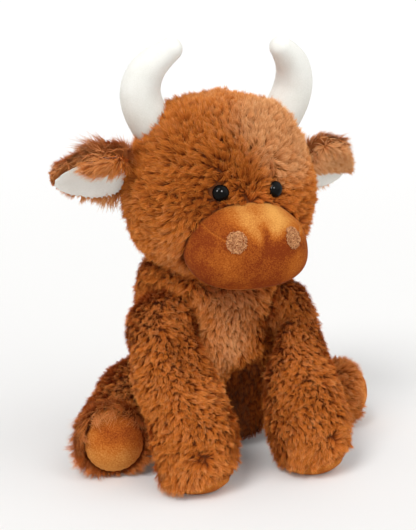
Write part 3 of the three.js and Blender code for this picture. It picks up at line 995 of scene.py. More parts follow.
@dataclass
class Coat:
    """Pile that grows from one surface, lies along a comb and gathers into locks."""

    name: str
    body: str
    surface: Surface
    comb: Field
    cover: Cover
    tone: Field
    reach: Field = everywhere
    calm: Field = nowhere
    pressed_flat: Field = nowhere
    length: float = 8 * MM
    lean_degrees: float = 50.0
    lean_spread: float = 10.0
    flat_lean: float = 82.0
    disorder_degrees: float = 30.0
    drift_degrees: float = 70.0
    drift_scale: float = 34.0
    strand_area: float = 0.5e-6
    strand_width: float = 0.28 * MM
    lock_spacing: float = 2.8 * MM
    lock_packing: float = 0.87
    lock_pull: float = 0.5
    bend_out: float = 0.42
    bend_along: float = 0.16
    calm_order: float = 0.55
    calm_lean: float = 7.0
    calm_pull: float = 0.6
    root_shade: float = MAP_EDGE
    seed: int = 1
    chance: Chance = Chance()
    parts: dict[str, Field] = field(default_factory=dict)

    def locks(self) -> Locks:
        """Places every strand of the coat.

        Returns:
            The strands, gathered into locks.
        """
        rng, chance = np.random.default_rng(self.seed), self.chance
        middles, facing, areas = self.surface.faces()
        weights = areas * np.clip(self.cover(middles, facing), 0, 1)
        covered = weights.sum()
        count = int(covered / self.strand_area)
        roots, normals = self.surface.scatter(weights, count, rng)
        lock_count = max(int(covered / (self.lock_packing * self.lock_spacing**2)), 1)
        hearts, heart_normals = self.surface.scatter(weights, lock_count, rng)
        tree = KDTree(lock_count)
        for index, heart in enumerate(hearts):
            tree.insert(heart, index)
        tree.balance()
        lock = np.array([tree.find(root)[1] for root in roots])

        calm = np.clip(self.calm(hearts), 0, 1)
        drift = np.array([noise.noise(Vector(heart) * self.drift_scale) for heart in hearts])
        disorder = rng.normal(0, self.disorder_degrees, lock_count) + self.drift_degrees * drift
        disorder *= 1 - self.calm_order * calm
        lay = turned(laid_flat(self.comb(hearts), heart_normals), heart_normals, np.radians(disorder))
        lean = rng.normal(self.lean_degrees, self.lean_spread, lock_count) + self.calm_lean * calm
        lean = np.radians(lean + (self.flat_lean - lean) * self.pressed_flat(hearts))
        pull = self.lock_pull * (1 - self.calm_pull * calm)
        lock_length = self.length * self.reach(hearts) * rng.uniform(*chance.lock_length, lock_count)
        lock_tone = self.tone(hearts) + rng.normal(0, chance.lock_tone, lock_count)
        lock_tone += chance.drift_tone * drift

        own_turn = np.radians(rng.normal(0, chance.own_turn_degrees, count))
        own_lay = turned(laid_flat(lay[lock], normals), normals, own_turn)
        own_lean = lean[lock] + np.radians(rng.normal(0, chance.own_lean_degrees, count))
        length = lock_length[lock] * rng.uniform(*chance.own_length, count)
        run = own_lay * np.sin(own_lean)[:, None] + normals * np.cos(own_lean)[:, None]
        tips = roots + (hearts[lock] - roots) * pull[lock, None] + run * length[:, None]
        sway = rng.normal(0, chance.sway, (count, 3)) * length[:, None]
        bends = roots + (normals * self.bend_out + own_lay * self.bend_along) * length[:, None] + sway
        widths = self.strand_width * rng.uniform(*chance.own_width, count)
        tones = np.clip(lock_tone[lock] + rng.normal(0, chance.own_tone, count), MAP_EDGE, 1 - MAP_EDGE)
        return Locks(roots, bends, tips, normals, widths, tones)

    def grow(self, material: Material) -> list[Piece]:
        """Makes the coat's pieces.

        Args:
            material: The pile's material.

        Returns:
            One piece for each named part, or one for the whole coat.
        """
        locks = self.locks()
        strand = FlatStrand()
        rest = all_of(locks.roots)
        pieces = []
        for part, belongs in {**self.parts, "": all_of}.items():
            chosen = rest & belongs(locks.roots)
            rest &= ~chosen
            if not chosen.any():
                continue
            name = f"{self.name}_{part}" if part else self.name
            piece = linked(name, locks.mesh(name, strand, chosen, self.root_shade))
            pieces.append(finished(piece, self.body, material))
        return pieces


# The cow's parts


@dataclass
class Muzzle:
    """The padded velour muzzle, with a dart seam each side and a soft crease between the nostrils."""

    half_width: float = 51 * MM
    half_height: float = 35 * MM
    half_depth: float = 40 * MM
    drop: float = 38 * MM
    forward: float = 58 * MM
    tilt_degrees: float = 14.0
    squareness: float = 2.4
    top_taper: float = 0.16
    dart_height: float = 15 * MM
    dart_slope: float = 0.25
    dart_start: float = 23 * MM
    dart_depth: float = 1.1 * MM
    dart_width: float = 1.3 * MM
    crease_depth: float = 1.3 * MM
    crease_width: float = 5 * MM

    @property
    def middle(self) -> Vector:
        """The middle of the muzzle."""
        return HEAD_CENTRE + Vector((0, -self.forward, -self.drop))

    def shaped(self, directions: Array) -> Array:
        """Rounds a ball off into the muzzle's form, about the muzzle's own middle.

        Args:
            directions: Directions from the middle, one to a row.

        Returns:
            Places about the muzzle's middle.
        """
        power = (np.abs(directions) ** self.squareness).sum(1, keepdims=True)
        box = directions * power ** (-1 / self.squareness)
        taper = 1 - self.top_taper * box[:, 2]
        return np.stack(
            [box[:, 0] * taper * self.half_width, box[:, 1] * self.half_depth, box[:, 2] * self.half_height],
            axis=1,
        )

    def on_dart(self, points: Array, width: float) -> Array:
        """1 on the two dart seams, and falling off over the width."""
        aside, ahead, above = np.abs(points[:, 0]), -points[:, 1], points[:, 2]
        line = self.dart_height + self.dart_slope * (aside - self.dart_start)
        reach = smoothstep(27 * MM, 31 * MM, aside) * smoothstep(-12 * MM, 0, ahead)
        return bell(above - line, width) * reach

    def tooled(self, points: Array) -> Array:
        """How far each point is pressed in by the darts and the crease.

        Args:
            points: The places, one to a row.

        Returns:
            A depth for each point.
        """
        ahead, above = -points[:, 1], points[:, 2]
        dart = self.on_dart(points, self.dart_width) - 0.4 * self.on_dart(points, 4 * self.dart_width)
        crease = (
            bell(points[:, 0], self.crease_width)
            * smoothstep(-16 * MM, 0, above)
            * (1 - smoothstep(14 * MM, 26 * MM, above))
            * smoothstep(0, 20 * MM, ahead)
        )
        return dart * self.dart_depth + crease * self.crease_depth

    def nap(self, points: Array) -> Array:
        """How light the velour is made: painted sheen over the top with painted highlights on its left and right,
        painted shade in the cleft, lighter lobes at the sides, painted sheen along the lower rim and a paler line
        on the darts.

        Args:
            points: The places, one to a row.

        Returns:
            A value from 0 to 1 for each point.
        """
        aside, above = points[:, 0] / self.half_width, points[:, 2] / self.half_height
        # Painted light: sheen over the top, highlights on its left and right, shade in the cleft and sheen along
        # the lower rim.
        top = smoothstep(0.42, 0.8, above + 0.12 * np.cos(7 * aside + 0.4) + 0.16 * aside)
        painted_highlight = 0.4 + 0.5 * bell(aside - 0.3, 0.22) + 0.25 * bell(aside + 0.2, 0.14)
        painted_cleft_shade = 0.45 * bell(aside, 0.07) * smoothstep(0.95, 0.6, above)
        rim = 0.9 * smoothstep(0.76, 0.88, -above)
        lobes = 0.24 * np.exp(-(((aside + 0.6) / 0.3) ** 2) - ((above + 0.05) / 0.34) ** 2)
        lobes += 0.26 * np.exp(-(((aside - 0.6) / 0.26) ** 2) - ((above + 0.1) / 0.38) ** 2)
        return 0.05 + (painted_highlight - painted_cleft_shade) * top + lobes + rim + 0.3 * self.on_dart(points, 0.8 * MM)

    def build(self, wardrobe: Wardrobe) -> Piece:
        """Makes the muzzle.

        Args:
            wardrobe: The cow's finishes.

        Returns:
            The muzzle.
        """
        form = bmesh.new()
        bmesh.ops.create_icosphere(form, subdivisions=7, radius=1)
        directions = unit(corners_of(form))
        points = self.shaped(directions)
        points -= unit(points) * self.tooled(points)[:, None]
        turn = Matrix.Rotation(math.radians(self.tilt_degrees), 4, "X")
        place = Matrix.Translation(self.middle) @ turn
        for corner, point in zip(form.verts, points):
            corner.co = place @ Vector(point)
        piece = piece_from("muzzle", form)
        spread_nap(piece, self.nap(points))
        finished(piece, "head", wardrobe.tan, ["muzzle_panel"])
        return piece


@dataclass
class Nostril:
    """A round patch of fuzzy satin stitches on the muzzle."""

    side: Side
    muzzle: Muzzle
    half_spacing: float = 20.3 * MM
    drop: float = 34.5 * MM
    radius: float = 8.0 * MM
    turn_degrees: float = 18.0
    lift_degrees: float = 22.0
    stitches: int = 420
    stitch_length: float = 2.9 * MM
    stitch_width: float = 0.3 * MM
    tallness: float = 1.1
    tone: tuple[float, float] = (0.42, 0.32)

    def build(self, wardrobe: Wardrobe, ground: BVHTree) -> Piece:
        """Sews the patch on.

        Args:
            wardrobe: The cow's finishes.
            ground: The muzzle's surface.

        Returns:
            The patch.
        """
        rng = np.random.default_rng(40 + self.side.value)
        axis = heading(self.side, self.turn_degrees, self.lift_degrees)
        ahead = -self.muzzle.forward - self.muzzle.half_depth / 2
        start = HEAD_CENTRE + Vector((self.side.value * self.half_spacing, ahead, -self.drop))
        level = axis.cross(Vector((0, 0, 1))).normalized()
        upright = level.cross(axis)
        roots, normals = [], []
        for _ in range(self.stitches):
            reach = self.radius * math.sqrt(rng.random())
            angle = rng.uniform(0, 2 * math.pi)
            aim = start + level * (reach * math.cos(angle))
            aim += upright * (self.tallness * reach * math.sin(angle))
            place, normal, _, _ = ground.ray_cast(aim + axis * 60 * MM, -axis)
            roots.append(place)
            normals.append(normal)
        count = len(roots)
        roots, normals = np.array(roots), np.array(normals)
        lay = laid_flat(np.tile(np.array(upright) * 0.8 + np.array(level) * 0.3, (count, 1)), normals)
        lay = turned(lay, normals, rng.uniform(0, math.pi, count))
        length = self.stitch_length * rng.uniform(0.7, 1.1, (count, 1))
        starts = roots - lay * length / 2 - normals * 0.2 * MM
        ends = roots + lay * length / 2 + normals * rng.uniform(0.1, 0.9, (count, 1)) * MM
        bends = roots + normals * rng.uniform(1.0, 2.2, (count, 1)) * MM
        tones = np.clip(rng.normal(*self.tone, count), MAP_EDGE, 1 - MAP_EDGE)
        locks = Locks(starts, bends, ends, normals, np.full(count, self.stitch_width), tones)
        name = f"nostril_stitching_{self.side.word}"
        piece = linked(name, locks.mesh(name, RoundStrand(), np.ones(count, dtype=bool)))
        return finished(piece, "head", wardrobe.thread, [f"nostril_{self.side.word}"])


@dataclass
class Eye:
    """A black safety eye: a domed front on a stem."""

    side: Side
    radius: float = 7 * MM
    dome: float = 5.4 * MM
    stem: float = 2 * MM
    back_rounding: float = 0.4 * MM
    edge_height: float = 0.35 * MM
    turn_degrees: float = 20.0
    lift_degrees: float = 4.0
    steps: int = 12

    @property
    def axis(self) -> Vector:
        """The way the eye looks."""
        return heading(self.side, self.turn_degrees, self.lift_degrees)

    def seat(self) -> tuple[Vector, float]:
        """Where the dome's flat back sits in the frame, and how long the stem behind it is.

        Returns:
            The middle of the dome's back, and the stem's length.
        """
        axis = np.array(self.axis)
        points = points_of(frame["nodes"][f"eye_{self.side.word}"])
        along = points @ axis
        aside = (points - along[:, None] * axis).mean(axis=0)
        back = along.max() - self.dome
        return Vector(aside + axis * back), float(back - along.min())

    def build(self, wardrobe: Wardrobe) -> Piece:
        """Turns the eye on a lathe and sets it in its seat.

        Args:
            wardrobe: The cow's finishes.

        Returns:
            The eye.
        """
        seat, tail = self.seat()
        outline = [(0.0, -tail), (self.stem, -tail), (self.stem, 0.0)]
        outline += [(self.radius - self.back_rounding, 0.0), (self.radius, self.edge_height)]
        for step in range(1, self.steps):
            angle = math.pi / 2 * step / self.steps
            rise = self.edge_height + (self.dome - self.edge_height) * math.sin(angle)
            outline.append((self.radius * math.cos(angle), rise))
        outline.append((0.0, self.dome))
        form = bmesh.new()
        corners = [form.verts.new((across, 0, along)) for across, along in outline]
        edges = [form.edges.new(pair) for pair in zip(corners, corners[1:])]
        profile = [*corners, *edges]
        bmesh.ops.spin(
            form, geom=profile, cent=(0, 0, 0), axis=(0, 0, 1), angle=2 * math.pi, steps=48, use_merge=True
        )
        bmesh.ops.remove_doubles(form, verts=form.verts, dist=0.001 * MM)
        place = Matrix.Translation(seat) @ self.axis.to_track_quat("Z", "Y").to_matrix().to_4x4()
        bmesh.ops.transform(form, matrix=place, verts=form.verts)
        piece = piece_from(f"safety_eye_{self.side.word}", form)
        return finished(piece, "head", wardrobe.gloss, [f"eye_{self.side.word}"])


@dataclass
class Horn:
    """A curved stuffed horn of pale velour, seamed along its inner and outer line."""

    side: Side
    radii: Sequence[float] = (18.5, 18.2, 17.2, 14.6, 9.8)
    root_spread: float = 50.0
    root_rise: float = 46.0
    reach: float = 74.0
    shares: Sequence[tuple[float, float, float]] = (
        (0, 0.1, 0),
        (0.17, 0.08, 0.21),
        (0.29, 0.04, 0.51),
        (0.22, -0.07, 0.8),
        (0, -0.2, 1),
    )
    rings: int = 40
    sides: int = 40
    cap_rings: int = 8
    easing: int = 14
    seam_depth: float = 0.35 * MM
    seam_width: float = 0.09

    def line(self, share: float) -> tuple[Vector, float]:
        """The middle of the horn and its radius, at a share of the way from root to tip.

        Args:
            share: How far along the horn, from 0 to 1.

        Returns:
            The middle and the radius.
        """
        spans = len(self.shares) - 1
        span = min(int(share * spans), spans - 1)
        local = share * spans - span
        path = [
            on_head(
                self.side.value * (self.root_spread + out * self.reach),
                back * self.reach,
                self.root_rise + rise * self.reach,
            )
            for out, back, rise in self.shares
        ]

        def knot(values: Sequence, index: int) -> object:
            """A value of the list, carried on in a line past its ends.

            Args:
                values: The values at the knots.
                index: Which knot.

            Returns:
                The knot's value.
            """
            if index < 0:
                return values[0] * 2 - values[1]
            if index >= len(values):
                return values[-1] * 2 - values[-2]
            return values[index]

        def curve(values: Sequence) -> object:
            """The smooth curve through the values, at this share.

            Args:
                values: The values at the knots.

            Returns:
                The value at the share.
            """
            a, b, c, d = (knot(values, span + offset) for offset in (-1, 0, 1, 2))
            return (
                b * 2
                + (c - a) * local
                + (a * 2 - b * 5 + c * 4 - d) * local**2
                + (b * 3 - a - c * 3 + d) * local**3
            ) * 0.5

        return curve(path), curve(list(self.radii)) * MM

    def build(self, wardrobe: Wardrobe) -> Piece:
        """Sweeps a ring along the horn and rounds its tip.

        Args:
            wardrobe: The cow's finishes.

        Returns:
            The horn.
        """
        stations = []
        for index in range(self.rings + 1):
            share = index / self.rings
            centre, radius = self.line(share)
            ahead, _ = self.line(min(share + 0.01, 1))
            behind, _ = self.line(max(share - 0.01, 0))
            stations.append((centre, (ahead - behind).normalized(), radius))
        for _ in range(self.easing):
            for index in range(1, len(stations) - 1):
                near = stations[index - 1], stations[index], stations[index + 1]
                centre = (near[0][0] + near[1][0] * 2 + near[2][0]) / 4
                radius = (near[0][2] + near[1][2] * 2 + near[2][2]) / 4
                stations[index] = (centre, (near[2][0] - near[0][0]).normalized(), radius)
        tip, run, radius = stations[-1]
        for index in range(1, self.cap_rings):
            angle = math.pi / 2 * index / self.cap_rings
            stations.append((tip + run * radius * math.sin(angle), run, radius * math.cos(angle)))

        form = bmesh.new()
        bmesh.ops.create_circle(form, segments=self.sides, radius=1, cap_ends=True)
        bmesh.ops.reverse_faces(form, faces=form.faces)
        ring, edges = form.verts[:], form.edges[:]
        for index, (centre, run, radius) in enumerate(stations):
            if index:
                ring, edges = extruded(form, edges)
            across = Vector((0, 1, 0)).cross(run).normalized()
            upward = run.cross(across)
            order = sorted(ring, key=lambda corner: corner.index) if index == 0 else ring
            for step, corner in enumerate(order):
                angle = 2 * math.pi * step / self.sides
                seam = math.exp(-((math.sin(angle) / self.seam_width) ** 2)) * self.seam_depth
                width = radius - seam
                corner.co = centre + across * (width * math.cos(angle)) + upward * (width * math.sin(angle))
        bmesh.ops.contextual_create(form, geom=edges)
        piece = piece_from(f"horn_{self.side.word}", form)
        heights = points_of(piece)[:, 2]
        root = HEAD_CENTRE.z + (self.root_rise + 18) * MM
        # Painted shade: the velour is darker towards the horn's root.
        spread_nap(piece, 0.55 + 0.4 * smoothstep(root, root + 30 * MM, heights))
        finished(piece, "head", wardrobe.pale, [f"horn_skin_{self.side.word}"])
        return piece


def spread_nap(piece: Piece, values: Array) -> None:
    """Writes how light each corner of a velour piece is made, with its painted sheen and shade."""
    layer = piece.data.attributes.new(NAP_AND_PAINTED_LIGHT, "FLOAT", "POINT")
    layer.data.foreach_set("value", np.clip(values, 0, 1))


@dataclass
class Sole:
    """A round velour sole that bulges out of the fur and gathers into its seam."""

    name: str
    node: str
    body: str
    centre: Vector
    facing: Vector
    foot_radius: float
    radius: float
    bulge: float
    gathers: int = 26
    gather_depth: float = 0.9 * MM
    thickness: float = 1.2 * MM
    seam_sink: float = 2.2 * MM

    @property
    def half_angle(self) -> float:
        """The angle from the sole's middle to its rim, seen from the middle of the foot."""
        return math.asin(self.radius / self.foot_radius)

    def build(self, wardrobe: Wardrobe) -> Piece:
        """Domes the sole over the foot.

        Args:
            wardrobe: The cow's finishes.

        Returns:
            The sole.
        """
        form = bmesh.new()
        bmesh.ops.create_uvsphere(form, u_segments=96, v_segments=80, radius=1)
        limit = math.cos(self.half_angle)
        whole = [*form.verts, *form.edges, *form.faces]
        bmesh.ops.bisect_plane(form, geom=whole, plane_co=(0, 0, limit), plane_no=(0, 0, 1), clear_inner=True)
        directions = corners_of(form)
        polar = np.arccos(np.clip(directions[:, 2], -1, 1)) / self.half_angle
        around = np.arctan2(directions[:, 1], directions[:, 0])
        pleat = np.abs(np.sin(self.gathers / 2 * around + 0.8 * np.sin(3 * around)))
        near_rim = smoothstep(0.62, 1.0, polar)
        radius = (
            self.foot_radius
            + self.bulge * (1 - polar**2)
            - self.gather_depth * near_rim * (1 - pleat)
            - self.seam_sink * smoothstep(0.86, 1.0, polar)
        )
        turn = self.facing.to_track_quat("Z", "Y").to_matrix()
        for corner, direction, reach in zip(form.verts, directions, radius):
            corner.co = self.centre + turn @ Vector(direction * reach)
        off_floor(form, FLOOR_CLEARANCE / 2)
        bmesh.ops.recalc_face_normals(form, faces=form.faces)
        bmesh.ops.solidify(form, geom=form.faces[:], thickness=self.thickness)
        off_floor(form, FLOOR_CLEARANCE / 2)
        piece = piece_from(self.name, form)
        points, facing = points_of(piece) - np.array(self.centre), np.array(self.facing)
        side = points - (points @ facing)[:, None] * facing
        out = np.linalg.norm(side, axis=1) / self.radius
        high = side[:, 2] / self.radius
        # Lighter towards the bottom of the sole, with painted sheen round its rim.
        spread_nap(piece, 0.18 + 0.45 * smoothstep(0.6, -0.5, high) + 0.2 * smoothstep(0.5, 0.95, out))
        finished(piece, self.body, wardrobe.tan, [self.node])
        return piece


def press_in(piece: Piece, depths: Array) -> None:
    """Presses each corner of a piece in along its own normal."""
    normals = [Vector(normal.vector) for normal in piece.data.vertex_normals]
    for corner, normal, depth in zip(piece.data.vertices, normals, depths):
        corner.co -= normal * float(depth)


def hide_piece(
    form: StuffedForm, body: str, wardrobe: Wardrobe, replaces: Sequence[str]
) -> Piece:
    """Args:
        form: The form to build.
        body: The body that it rides on.
        wardrobe: The cow's finishes.
        replaces: The CAD nodes that it stands for.

    Returns:
        The hide.
    """
    piece = form.build()
    finished(piece, body, wardrobe.hide, replaces)
    return piece


@dataclass
class Head:
    """The round stuffed head, whose fur fans out from between the eyes."""

    bridge: Spot = Spot(-2, -82, 2, 0)
    eye: Spot = Spot(23.4, -75, 6, 13)
    brow: Spot = Spot(38, -45, 50, 38)
    jaw: Spot = Spot(-52, -38, -48, 30)
    crown: Spot = Spot(0, 0, 84, 42)
    parting: Spot = Spot(-34, -66, -2, 38)
    cheeks: Spot = Spot(78, -10, -24, 48)
    horn_roots: Spot = Spot(50, -16, 62, 20)
    horn_fur: Spot = Spot(56, -4, 60, 24)
    swell: float = 5.6 * MM
    dimple: float = 2.8 * MM
    cheek: float = 5.5 * MM
    horn_root: float = 4.5 * MM
    eye_hole: float = 8.3 * MM
    base_tone: float = 0.295
    brow_tone: float = 0.58
    brow_span: tuple[float, float] = (54 * MM, 28 * MM)
    jaw_tone: float = 0.24
    crown_tone: float = 0.28
    parting_tone: float = -0.2
    seed: int = 11

    def hide(self, wardrobe: Wardrobe) -> Piece:
        """Makes the hide from the head's filling.

        Args:
            wardrobe: The cow's finishes.

        Returns:
            The hide.
        """
        nodes = ["head_filling", "eye_washer_left", "eye_washer_right"]
        form = StuffedForm("head_hide", nodes, swell=self.swell)
        piece = hide_piece(form, "head", wardrobe, ["head_skin"])
        points = points_of(piece)
        depths = self.dimple * sum(mound(points, Eye(side).seat()[0], 13 * MM) for side in Side)
        for side in Side:
            depths -= self.cheek * self.cheeks.mound(points, side)
            depths -= self.horn_root * self.horn_roots.mound(points, side)
        press_in(piece, depths)
        return piece

    def comb(self, points: Array) -> Array:
        """Away from the bridge of the nose, past the eyes, and down at the back.

        Args:
            points: The places, one to a row.

        Returns:
            A direction for each point.
        """
        lay = unit(points - np.array(self.bridge.place()))
        local = from_head(points)
        back = smoothstep(-10, 60, local[:, 1])[:, None]
        lay = lay * (1 - back) + np.array([0, 0.25, -1.0]) * back
        low = smoothstep(10, -60, local[:, 2])[:, None]
        lay = lay + np.array([0, 0, -0.6]) * low
        for side in Side:
            away = points - np.array(self.eye.place(side))
            near = self.eye.mound(points, side)[:, None]
            lay = lay * (1 - near) + unit(away) * near
            above = smoothstep(4, 10, away[:, 2] / MM) * smoothstep(32, 18, away[:, 2] / MM)
            parted = bell(away[:, 0], 7 * MM) * above
            lay[:, 0] += 1.3 * np.sign(away[:, 0]) * parted
        return unit(lay)

    def calm(self, points: Array) -> Array:
        """Smooth on the left brow and the right jaw, where hands have stroked it."""
        return self.brow.mound(points) + 0.8 * self.jaw.mound(points)

    def tone(self, points: Array) -> Array:
        """Paler on the left brow, the crown and the right jaw, and deeper below the parting of the fur.

        Args:
            points: The places, one to a row.

        Returns:
            A tone for each point.
        """
        tone = np.full(len(points), self.base_tone)
        brow = np.linalg.norm(points - np.array(self.brow.place()), axis=1)
        tone += self.brow_tone * smoothstep(*self.brow_span, brow)
        tone += self.jaw_tone * self.jaw.mound(points)
        tone += self.crown_tone * self.crown.mound(points)
        tone += self.parting_tone * self.parting.mound(points)
        return tone

    def coat(self, hide: Surface, blocked: Sequence[BVHTree], neighbours: Sequence[BVHTree]) -> Coat:
        """The head's coat.

        Args:
            hide: The head's own surface.
            blocked: Forms that no fur grows under.
            neighbours: Forms that the head sinks into.

        Returns:
            The coat, ready to grow.
        """
        eyes = [Eye(side).seat()[0] for side in Side]
        ears = [Ear(side).pivot for side in Side]
        def cover(points: Array, normals: Array) -> Array:
            """Where the head's fur grows."""
            share = clear_of(points, blocked, 0.5 * MM) * clear_of(points, neighbours, -3 * MM)
            for eye in eyes:
                share *= np.linalg.norm(points - np.array(eye), axis=1) > self.eye_hole
            return share

        def reach(points: Array) -> Array:
            """Shorter fur round the eyes, and longer fur where the ears and the horns join."""
            short = sum(mound(points, eye, 15 * MM) for eye in eyes)
            full = sum(mound(points, ear, 26 * MM) for ear in ears)
            full = full + 1.4 * sum(self.horn_fur.mound(points, side) for side in Side)
            return 1 - 0.48 * np.clip(short, 0, 1) + 0.4 * full
        return Coat(
            "head_fur",
            "head",
            hide,
            self.comb,
            cover,
            self.tone,
            reach,
            self.calm,
            length=9.5 * MM,
            lean_degrees=54,
            lock_spacing=3.1 * MM,
            seed=self.seed,
            parts={
                "face": lambda p: (p[:, 1] - HEAD_CENTRE.y) < -42 * MM,
                "left": lambda p: (p[:, 0] - HEAD_CENTRE.x) > 0,
                "right": all_of,
            },
        )


@dataclass
class Torso:
    """The pear-shaped body, whose fur hangs down and is paler on the chest."""

    hollow_depth: float = 34 * MM
    shoulder: float = 8 * MM
    shoulder_place: Spot = Spot(-61, 26, -73, 27)
    base_tone: float = 0.3
    chest_tone: float = 0.46
    # Painted shade of the hollow between the front legs.
    hollow_tone: float = -0.5
    hollow_thinning: float = 0.75
    blend: float = 5 * MM
    seed: int = 21

    def hide(self, wardrobe: Wardrobe) -> Piece:
        """Makes the hide from the filling, the pellet bag and the plug of the neck.

        Args:
            wardrobe: The cow's finishes.

        Returns:
            The hide.
        """
        form = StuffedForm("torso_hide", ["torso_filling", "seat_pellet_bag", "neck_filling"])
        piece = hide_piece(form, "torso", wardrobe, ["torso_skin"])
        points = points_of(piece)
        depths = -self.shoulder * self.shoulder_place.mound(points)
        depths -= self.blend * sum(mound(points, top, 34 * MM) for top in self.leg_tops())
        press_in(piece, depths)
        self.draw_in(piece)
        return piece

    @staticmethod
    def leg_tops() -> list[Vector]:
        """Where the tops of the two front legs are sewn on."""
        return [joint_place(f"front_leg_swing_{side.word}") + Vector((0, -14, 24)) * MM for side in Side]

    def draw_in(self, piece: Piece) -> None:
        """Draws a piece in where the belly lies between the front legs."""
        points = points_of(piece)
        depths = self.hollow_depth * self.hollow(points) * smoothstep(4 * MM, 45 * MM, points[:, 2])
        for corner, depth in zip(piece.data.vertices, depths):
            corner.co.y += float(depth)

    @staticmethod
    def hollow(points: Array) -> Array:
        """The belly between the front legs, which is drawn in as the toy sits."""
        local = from_head(points)
        low = smoothstep(-130, -195, local[:, 2])
        front = smoothstep(10, -10, local[:, 1])
        return bell(local[:, 0] - 5, 25) * low * front

    @staticmethod
    def shade(points: Array) -> Array:
        """Painted shade: the dark wedge of fur where the belly meets the left front leg."""
        local = from_head(points)
        low = smoothstep(-112, -178, local[:, 2])
        return smoothstep(-14, 16, local[:, 0]) * low * (local[:, 1] < 10)

    @staticmethod
    def comb(points: Array) -> Array:
        """Down, and a little outwards."""
        local = points - np.array([HEAD_CENTRE.x, HEAD_CENTRE.y, 0.1])
        return unit(np.array([0, 0, -1.0]) + 2.2 * local * np.array([1, 1, 0]))

    def tone(self, points: Array) -> Array:
        """Paler down the middle of the chest, and darkened with painted shade where the belly is drawn in and in
        the wedge by the left front leg.
        """
        local = from_head(points)
        chest = bell(local[:, 0] + 4, 22) * (local[:, 1] < 0)
        # Painted shade of the hollow and of the wedge by the left front leg.
        dark = np.clip(self.hollow(points) + self.shade(points), 0, 1)
        return self.base_tone + self.chest_tone * chest * (1 - dark) + self.hollow_tone * dark

    def coat(self, hide: Surface, neighbours: Sequence[BVHTree]) -> Coat:
        """The torso's coat, which stops where a limb or the head sinks in.

        Args:
            hide: The part's own surface.
            neighbours: Forms that the part sinks into.

        Returns:
            The coat, ready to grow.
        """

        def cover(points: Array, normals: Array) -> Array:
            """Where the torso's fur grows."""
            # Thinner in the painted shade of the hollow and the wedge, so that the dark backing shows there too.
            share = 1 - self.hollow_thinning * np.clip(self.hollow(points) + self.shade(points), 0, 1)
            return share * clear_of(points, neighbours, MM)

        def reach(points: Array) -> Array:
            """Longer fur over the seams of the front legs, and shorter where the belly is drawn in."""
            over = sum(mound(points, top, 32 * MM) for top in self.leg_tops())
            return 1 - 0.4 * self.hollow(points) + 0.6 * over

        middle = HEAD_CENTRE.y + 12 * MM
        return Coat(
            "torso_fur",
            "torso",
            hide,
            self.comb,
            cover,
            self.tone,
            reach,
            seed=self.seed,
            parts={
                "front_left": lambda p: (p[:, 1] < middle) & (p[:, 0] > HEAD_CENTRE.x),
                "front_right": lambda p: p[:, 1] < middle,
                "back_left": lambda p: p[:, 0] > HEAD_CENTRE.x,
                "back_right": all_of,
            },
        )


